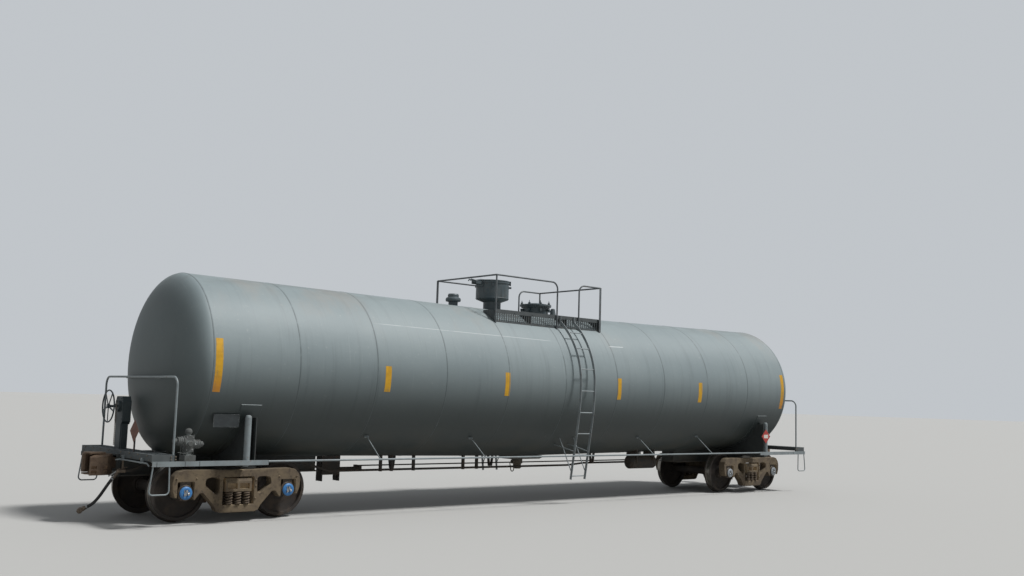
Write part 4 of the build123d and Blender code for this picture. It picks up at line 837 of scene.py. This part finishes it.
drum = {"x": -0.775, "radius": 0.35, "wall": 0.01, "neck": 0.185, "foot": 3.85, "neckTop": 4.105,
        "base": 4.18, "rim": 4.53, "band": 0.034, "bandOut": 0.009, "sides": 72, "dogs": (52, 128, 232),
        "latch": -38, "hingeX": -1.26, "hingeZ": 4.506, "earY": 0.07, "pin": 0.009, "pinHalf": 0.088}
radius, neck, rim = drum["radius"], drum["neck"], drum["rim"]
leaf = drum["x"] - radius  # the drum's side that bears the hinge


def roundDrum(parts, degrees):
    turn = Matrix.Rotation(math.radians(degrees), 3, "Z")
    points, faces = parts
    return [Vector((drum["x"], 0, 0)) + turn @ p for p in points], faces


wallProfile = [
    (neck, drum["foot"]), (neck, drum["neckTop"]), (radius - 0.012, drum["base"] - 0.016),  # neck and cone
    (radius, drum["base"]), (radius, drum["base"] + 0.012), (radius - 0.003, drum["base"] + 0.016),
    (radius - 0.003, rim - drum["band"]), (radius + drum["bandOut"], rim - drum["band"]),
    (radius + drum["bandOut"], rim), (radius - drum["wall"], rim),
    (radius - drum["wall"], drum["base"] + drum["wall"]),  # and back down inside
    (neck - drum["wall"], drum["neckTop"] + drum["wall"]), (0.01, drum["neckTop"] + drum["wall"])]
wall = [latheParts(wallProfile, (drum["x"], 0, 0), (0, 0, 1), drum["sides"])]
wall.append(boxParts((leaf - 0.012, -0.095, rim - 0.12), (leaf + 0.03, 0.095, rim - 0.036)))  # hinge plate
for side in (-1, 1):
    y = side * drum["earY"]
    low = (drum["hingeX"] - 0.022, y - 0.01, rim - 0.07)
    wall.append(boxParts(low, (leaf - 0.006, y + 0.01, rim - 0.004)))
pinEnds = [(drum["pin"], -drum["pinHalf"]), (drum["pin"], drum["pinHalf"])]
wall.append(latheParts(pinEnds, (drum["hingeX"], 0, drum["hingeZ"]), (0, 1, 0), steps=16))
for degrees in drum["dogs"]:
    dog = boxParts((radius - 0.004, -0.02, rim - 0.11), (radius + 0.022, 0.02, rim - 0.048))
    wall.append(roundDrum(dog, degrees))
for y in (-0.024, 0.024):  # two posts of the latch
    post = boxParts((radius - 0.004, y - 0.006, rim - 0.12), (radius + 0.05, y + 0.006, rim - 0.085))
    wall.append(roundDrum(post, drum["latch"]))
drumPiece = makePiece("housingDrum", wall, "car", "housing_paint")
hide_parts("bonnet_housing")

lidShape = {"gap": 0.004, "armY": 0.034, "armRadius": 0.014, "barrel": 0.02, "barrelHalf": 0.054}
base = rim + lidShape["gap"]
lidProfile = [
    (0.02, base + 0.024), (radius - 0.06, base + 0.008), (radius - 0.06, base), (radius + 0.011, base),
    (radius + 0.013, base + 0.003), (radius + 0.013, base + 0.018), (radius + 0.008, base + 0.023),
    (radius - 0.04, base + 0.03), (radius - 0.17, base + 0.04), (0.02, base + 0.046)]  # a shallow dome
lid = [latheParts(lidProfile, (drum["x"], 0, 0), (0, 0, 1), drum["sides"])]
barrelEnds = [(lidShape["barrel"], -lidShape["barrelHalf"]), (lidShape["barrel"], lidShape["barrelHalf"])]
lid.append(latheParts(barrelEnds, (drum["hingeX"], 0, drum["hingeZ"]), (0, 1, 0), steps=24))
for side in (-1, 1):  # arms over the hinge, bent up behind it
    bend = ((drum["hingeX"] - 0.14, 4.512), (drum["hingeX"] - 0.12, 4.545), (drum["hingeX"], 4.528),
            (leaf, base + 0.026), (leaf + 0.14, base + 0.028))
    arm = [Vector((x, side * lidShape["armY"], z)) for x, z in bend]
    lid.append(tubeParts(arm, lidShape["armRadius"], sides=8))
eye = boxParts((radius + 0.004, -0.012, rim - 0.06), (radius + 0.04, 0.012, base + 0.03))
lid.append(roundDrum(eye, drum["latch"]))
lidPiece = makePiece("housingLid", lid, "lid", "housing_paint")
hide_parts("bonnet_lid")
print("stage: housing")


# Corner angles of the top railing, and the blank signs in their holders

cornerPost = {"x": 1.483, "y": 0.973, "low": 3.6, "high": 4.566, "leg": 0.052, "thick": 0.007, "out": 0.0185}
posts = []
for sx, sy in ((-1, 1), (1, -1)):
    wide, thin, out = cornerPost["leg"], cornerPost["thick"], cornerPost["out"]
    outer = Vector((sx * (cornerPost["x"] + out), sy * (cornerPost["y"] + out), 0))
    for leg in ((wide, thin), (thin, wide)):
        far = outer - Vector((sx * leg[0], sy * leg[1], 0))
        low = (min(outer.x, far.x), min(outer.y, far.y), cornerPost["low"])
        posts.append(boxParts(low, (max(outer.x, far.x), max(outer.y, far.y), cornerPost["high"])))
makePiece("cornerAngles", posts, "car", "walkway_steel", darkRail)

signs = {"x": 6.8, "y": 1.5428, "z": 1.375, "reach": 0.166, "thick": 0.002,
         "panel": (0.085, 0.042), "panelThick": 0.001}
x, y, z = signs["x"], -signs["y"], signs["z"]
plate = [(signs["reach"], 0), (signs["reach"], signs["thick"])]
diamond = latheParts(plate, (x, y, z), (0, -1, 0), steps=4)
across, up = signs["panel"]
front = y - signs["thick"]
panel = boxParts((x - across, front - signs["panelThick"], z - up), (x + across, front, z + up))
for side, name in ((1, "Near"), (-1, "Far")):
    makePiece("signFace" + name, [(turned(diamond[0], side), diamond[1])], "car", "board_paint", signRed)
    makePiece("signPanel" + name, [(turned(panel[0], side), panel[1])], "car", "board_paint", signWhite)
print("stage: signs")


# Bolts on the hand brake, the ladders and the trucks

stand = {"x": -8.31, "y": 0.45, "z": 1.78, "hubX": -8.344, "hubRing": 0.07, "boltSize": 0.022,
         "holes": ((0.13, -0.2), (0.13, 0.05), (0.08, 0.13), (-0.08, 0.13), (-0.13, 0.05), (-0.13, -0.2))}
standSpots = []
for dy, dz in stand["holes"]:
    standSpots.append(((stand["x"], stand["y"] + dy, stand["z"] + dz), (-1, 0, 0)))
standSpots += ringOfBolts((stand["hubX"], stand["y"], stand["z"]), (-1, 0, 0), stand["hubRing"], 5)
repeatPiece("brakeStandBolts", hexBolt, standSpots, stand["boltSize"], "car", "stand_paint")

ladder = {"x": 0.49, "half": 0.2052, "feet": ((1.432, 0.64), (1.489, 1.07)), "step": 0.012,
          "boltSize": 0.016}
ladderSpots = []
for side in (-1, 1):
    for outward in (-1, 1):
        for y, z in ladder["feet"]:
            for dz in (-ladder["step"], ladder["step"]):
                place = (ladder["x"] + outward * ladder["half"], side * y, z + dz)
                ladderSpots.append((place, (outward, 0, 0)))
repeatPiece("ladderBolts", hexBolt, ladderSpots, ladder["boltSize"], "car", "sill_paint", boltSteel)

sideFrame = {"face": 1.09, "columns": (-0.3, 0.3), "rows": (0.36, 0.56, 0.655),
             "arms": (-1.045, 1.045, -0.72, 0.72), "armZ": 0.7, "rivetSize": 0.034}
for end, sign in ends:
    spots, body = [], "truck_" + end
    for side in (-1, 1):
        holes = [(dx, z) for dx in sideFrame["columns"] for z in sideFrame["rows"]]
        holes += [(dx, sideFrame["armZ"]) for dx in sideFrame["arms"]]
        for dx, z in holes:
            spots.append(((sign * truck["x"] + dx, side * sideFrame["face"], z), (0, side, 0)))
    repeatPiece("sideFrameRivets_" + end, rivet, spots, sideFrame["rivetSize"], body, "truck_casting")

cap = {"boltRing": 0.036, "boltFace": 1.1255, "boltSize": 0.036, "plateFace": 1.1108,
       "plate": [(0.05, 0), (0.066, 0), (0.066, 0.004), (0.05, 0.005)]}  # three-sided lock plate
for end, sign in ends:
    for number, offset in axles:
        middle, axle = sign * truck["x"] + offset, end + number
        spots, plates = [], []
        for side in (-1, 1):
            for k in range(3):
                a = math.radians(90 + 120 * k)
                dx, dz = cap["boltRing"] * math.cos(a), cap["boltRing"] * math.sin(a)
                spots.append(((middle + dx, side * cap["boltFace"], truck["axleZ"] + dz), (0, side, 0)))
            centre = (middle, side * cap["plateFace"], truck["axleZ"])
            plates.append(latheParts(cap["plate"], centre, (0, side, 0), steps=3))
        repeatPiece("capBolts_" + axle, hexBolt, spots, cap["boltSize"], "axle_" + axle, "bearing_steel",
                    brightSteel)
        makePiece("lockPlates_" + axle, plates, "axle_" + axle, "bearing_steel", brightSteel)
print("stage: bolts")


# Air hoses, hand brake chain and sill joints

hoseRoute = [
    (8.615, 0.318, 0.687), (8.673, 0.296, 0.595), (8.726, 0.262, 0.489), (8.770, 0.215, 0.392),
    (8.818, 0.165, 0.308), (8.864, 0.118, 0.254), (8.912, 0.072, 0.222),
]
airHose = {"radius": 0.024, "rounding": 5, "steps": 12}
for end, sign in ends:
    curve = bpy.data.curves.new("airHose_" + end, "CURVE")
    curve.dimensions = "3D"
    curve.bevel_depth = airHose["radius"]
    curve.bevel_resolution = airHose["rounding"]
    curve.resolution_u = airHose["steps"]
    curve.use_fill_caps = True
    spline = curve.splines.new("NURBS")
    spline.points.add(len(hoseRoute) - 1)
    for k, (x, y, z) in enumerate(hoseRoute):
        spline.points[k].co = (sign * x, sign * y, z, 1)
    spline.order_u = 3
    spline.use_endpoint_u = True
    curve.materials.append(materials["hose_rubber"])
    hose = bpy.data.objects.new("airHose_" + end, curve)
    scene.collection.objects.link(hose)
    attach(hose, "car")
    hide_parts("brake_hose_" + end)

clamp = {"inner": 0.0245, "outer": 0.0275, "half": 0.009, "inset": 0.02, "lugOut": 0.033, "lugHalf": 0.009}
band = [(clamp["inner"], -clamp["half"]), (clamp["outer"], -clamp["half"]),
        (clamp["outer"], clamp["half"]), (clamp["inner"], clamp["half"])]
hoseEnds = ((hoseRoute[0], hoseRoute[1]), (hoseRoute[-1], hoseRoute[-2]))
for end, sign in ends:
    parts = []
    for first, second in hoseEnds:
        along = (Vector(second) - Vector(first)).normalized()
        start, along = turned([Vector(first) + along * clamp["inset"], along], sign)
        parts.append(latheParts(band, start, along, steps=16))
        lug = start + along.cross(Vector((0, 0, 1))).normalized() * clamp["lugOut"]
        reach = Vector((clamp["lugHalf"],) * 3)
        parts.append(boxParts(lug - reach, lug + reach))
    makePiece("hoseClamps_" + end, parts, "car", "gladhand_metal", brightSteel)

chain = {"length": 0.042, "half": 0.011, "wire": 0.0042, "overlap": 2.2, "twist": 0.4, "pairs": 11,
         "steps": 14, "sides": 6, "top": (-8.372, 0.405, 1.86)}
linkPitch = chain["length"] - chain["overlap"] * chain["wire"]


def linkParts(centre, twist):
    path = []
    for k in range(chain["steps"]):
        a = 2 * math.pi * k / chain["steps"]
        across, along = chain["half"] * math.cos(a), chain["half"] * math.sin(a)
        straight = chain["length"] / 2 - chain["half"]
        along += math.copysign(straight, along) if abs(along) > 1e-6 else 0.0
        path.append(Vector((across * math.cos(twist), across * math.sin(twist), along)) + Vector(centre))
    return tubeParts(path, chain["wire"], chain["sides"], closed=True)


twoLinks = [linkParts((0, 0, 0), chain["twist"]), linkParts((0, 0, -linkPitch), chain["twist"] + math.pi / 2)]
chainUnit = unitObject("chainUnit", twoLinks, True)
x, y, z = chain["top"]
chainSpots = [((x, y, z - 2 * linkPitch * k), (0, 0, 1)) for k in range(chain["pairs"])]
repeatPiece("brakeChain", chainUnit, chainSpots, 1.0, "car", "stand_paint", chainSteel, turn=0.0)

sillJoint = {"places": (7.76, 7.99, 8.43), "half": 0.005, "inner": 1.5295, "outer": 1.5315,
             "low": 0.926, "high": 0.999}
joints = []
for sign in (1, -1):
    for place in sillJoint["places"]:
        for side in (-1, 1):
            x0, x1 = sign * place - sillJoint["half"], sign * place + sillJoint["half"]
            y0, y1 = sorted((side * sillJoint["inner"], side * sillJoint["outer"]))
            joints.append(boxParts((x0, y0, sillJoint["low"]), (x1, y1, sillJoint["high"])))
makePiece("sideSillJoints", joints, "car", "rail_paint", materials["walkway_steel"])
print("stage: hoses, chain and joints")


# Stage, lights and camera

floorShape = {"half": 400, "drop": -0.002, "colour": "#A6A5A2", "rough": 0.9}
floorMaterial = bpy.data.materials.new("paleStudioFloor")
floorMaterial.use_nodes = True
floorInputs = floorMaterial.node_tree.nodes["Principled BSDF"].inputs
floorInputs["Base Color"].default_value = paint(floorShape["colour"])
floorInputs["Roughness"].default_value = floorShape["rough"]
half = floorShape["half"]
floorMesh = bpy.data.meshes.new("studioFloor")
floorCorners = [(-half, -half, 0), (half, -half, 0), (half, half, 0), (-half, half, 0)]
floorMesh.from_pydata(floorCorners, [], [(0, 1, 2, 3)])
floorMesh.materials.append(floorMaterial)
floor = bpy.data.objects.new("studioFloor", floorMesh)
floor.location.z = floorShape["drop"]
scene.collection.objects.link(floor)

sky = {"colour": "#D5DADF", "light": 0.45, "shown": 0.35}  # shown: added where it is seen or mirrored
world = bpy.data.worlds.new("studioWorld")
world.use_nodes = True
background = world.node_tree.nodes["Background"].inputs
background["Color"].default_value = paint(sky["colour"])
rays = addNode(world.node_tree, "ShaderNodeLightPath").outputs
seen = maths(world.node_tree, "MAXIMUM", rays["Is Camera Ray"], rays["Is Glossy Ray"])
seen = maths(world.node_tree, "MAXIMUM", seen, rays["Is Transmission Ray"])
strength = maths(world.node_tree, "MULTIPLY_ADD", seen, sky["shown"], sky["light"])
world.node_tree.links.new(strength, background["Strength"])
scene.world = world

sunLight = {"energy": 3.9, "angle": 10, "travel": (-0.45, 0.42, -1.0)}
sun = bpy.data.lights.new("softSun", "SUN")
sun.energy = sunLight["energy"]
sun.angle = math.radians(sunLight["angle"])
sunObject = bpy.data.objects.new("softSun", sun)
sunObject.rotation_mode = "QUATERNION"
sunObject.rotation_quaternion = Vector(sunLight["travel"]).to_track_quat("-Z", "Y")
scene.collection.objects.link(sunObject)

view = {"place": (-14.720, -16.688, 2.051), "yaw": 40.9725, "pitch": 6.2405, "roll": 1.6898,
        "lens": 36.383, "sensor": 36, "farthest": 1000}
camera = bpy.data.cameras.new("photoCamera")
camera.sensor_width = view["sensor"]
camera.lens = view["lens"]
camera.clip_end = view["farthest"]
cameraObject = bpy.data.objects.new("photoCamera", camera)
yaw, tilt, roll = (math.radians(view[name]) for name in ("yaw", "pitch", "roll"))
forward = Vector((math.sin(yaw) * math.cos(tilt), math.cos(yaw) * math.cos(tilt), math.sin(tilt)))
level = Vector((math.cos(yaw), -math.sin(yaw), 0))
above = level.cross(forward)
right = math.cos(roll) * level + math.sin(roll) * above
top = -math.sin(roll) * level + math.cos(roll) * above
pose = Matrix((right, top, -forward)).transposed().to_4x4()
pose.translation = Vector(view["place"])
cameraObject.matrix_world = pose
scene.collection.objects.link(cameraObject)
scene.camera = cameraObject
scene.view_settings.view_transform = "Standard"

print("stage: done")
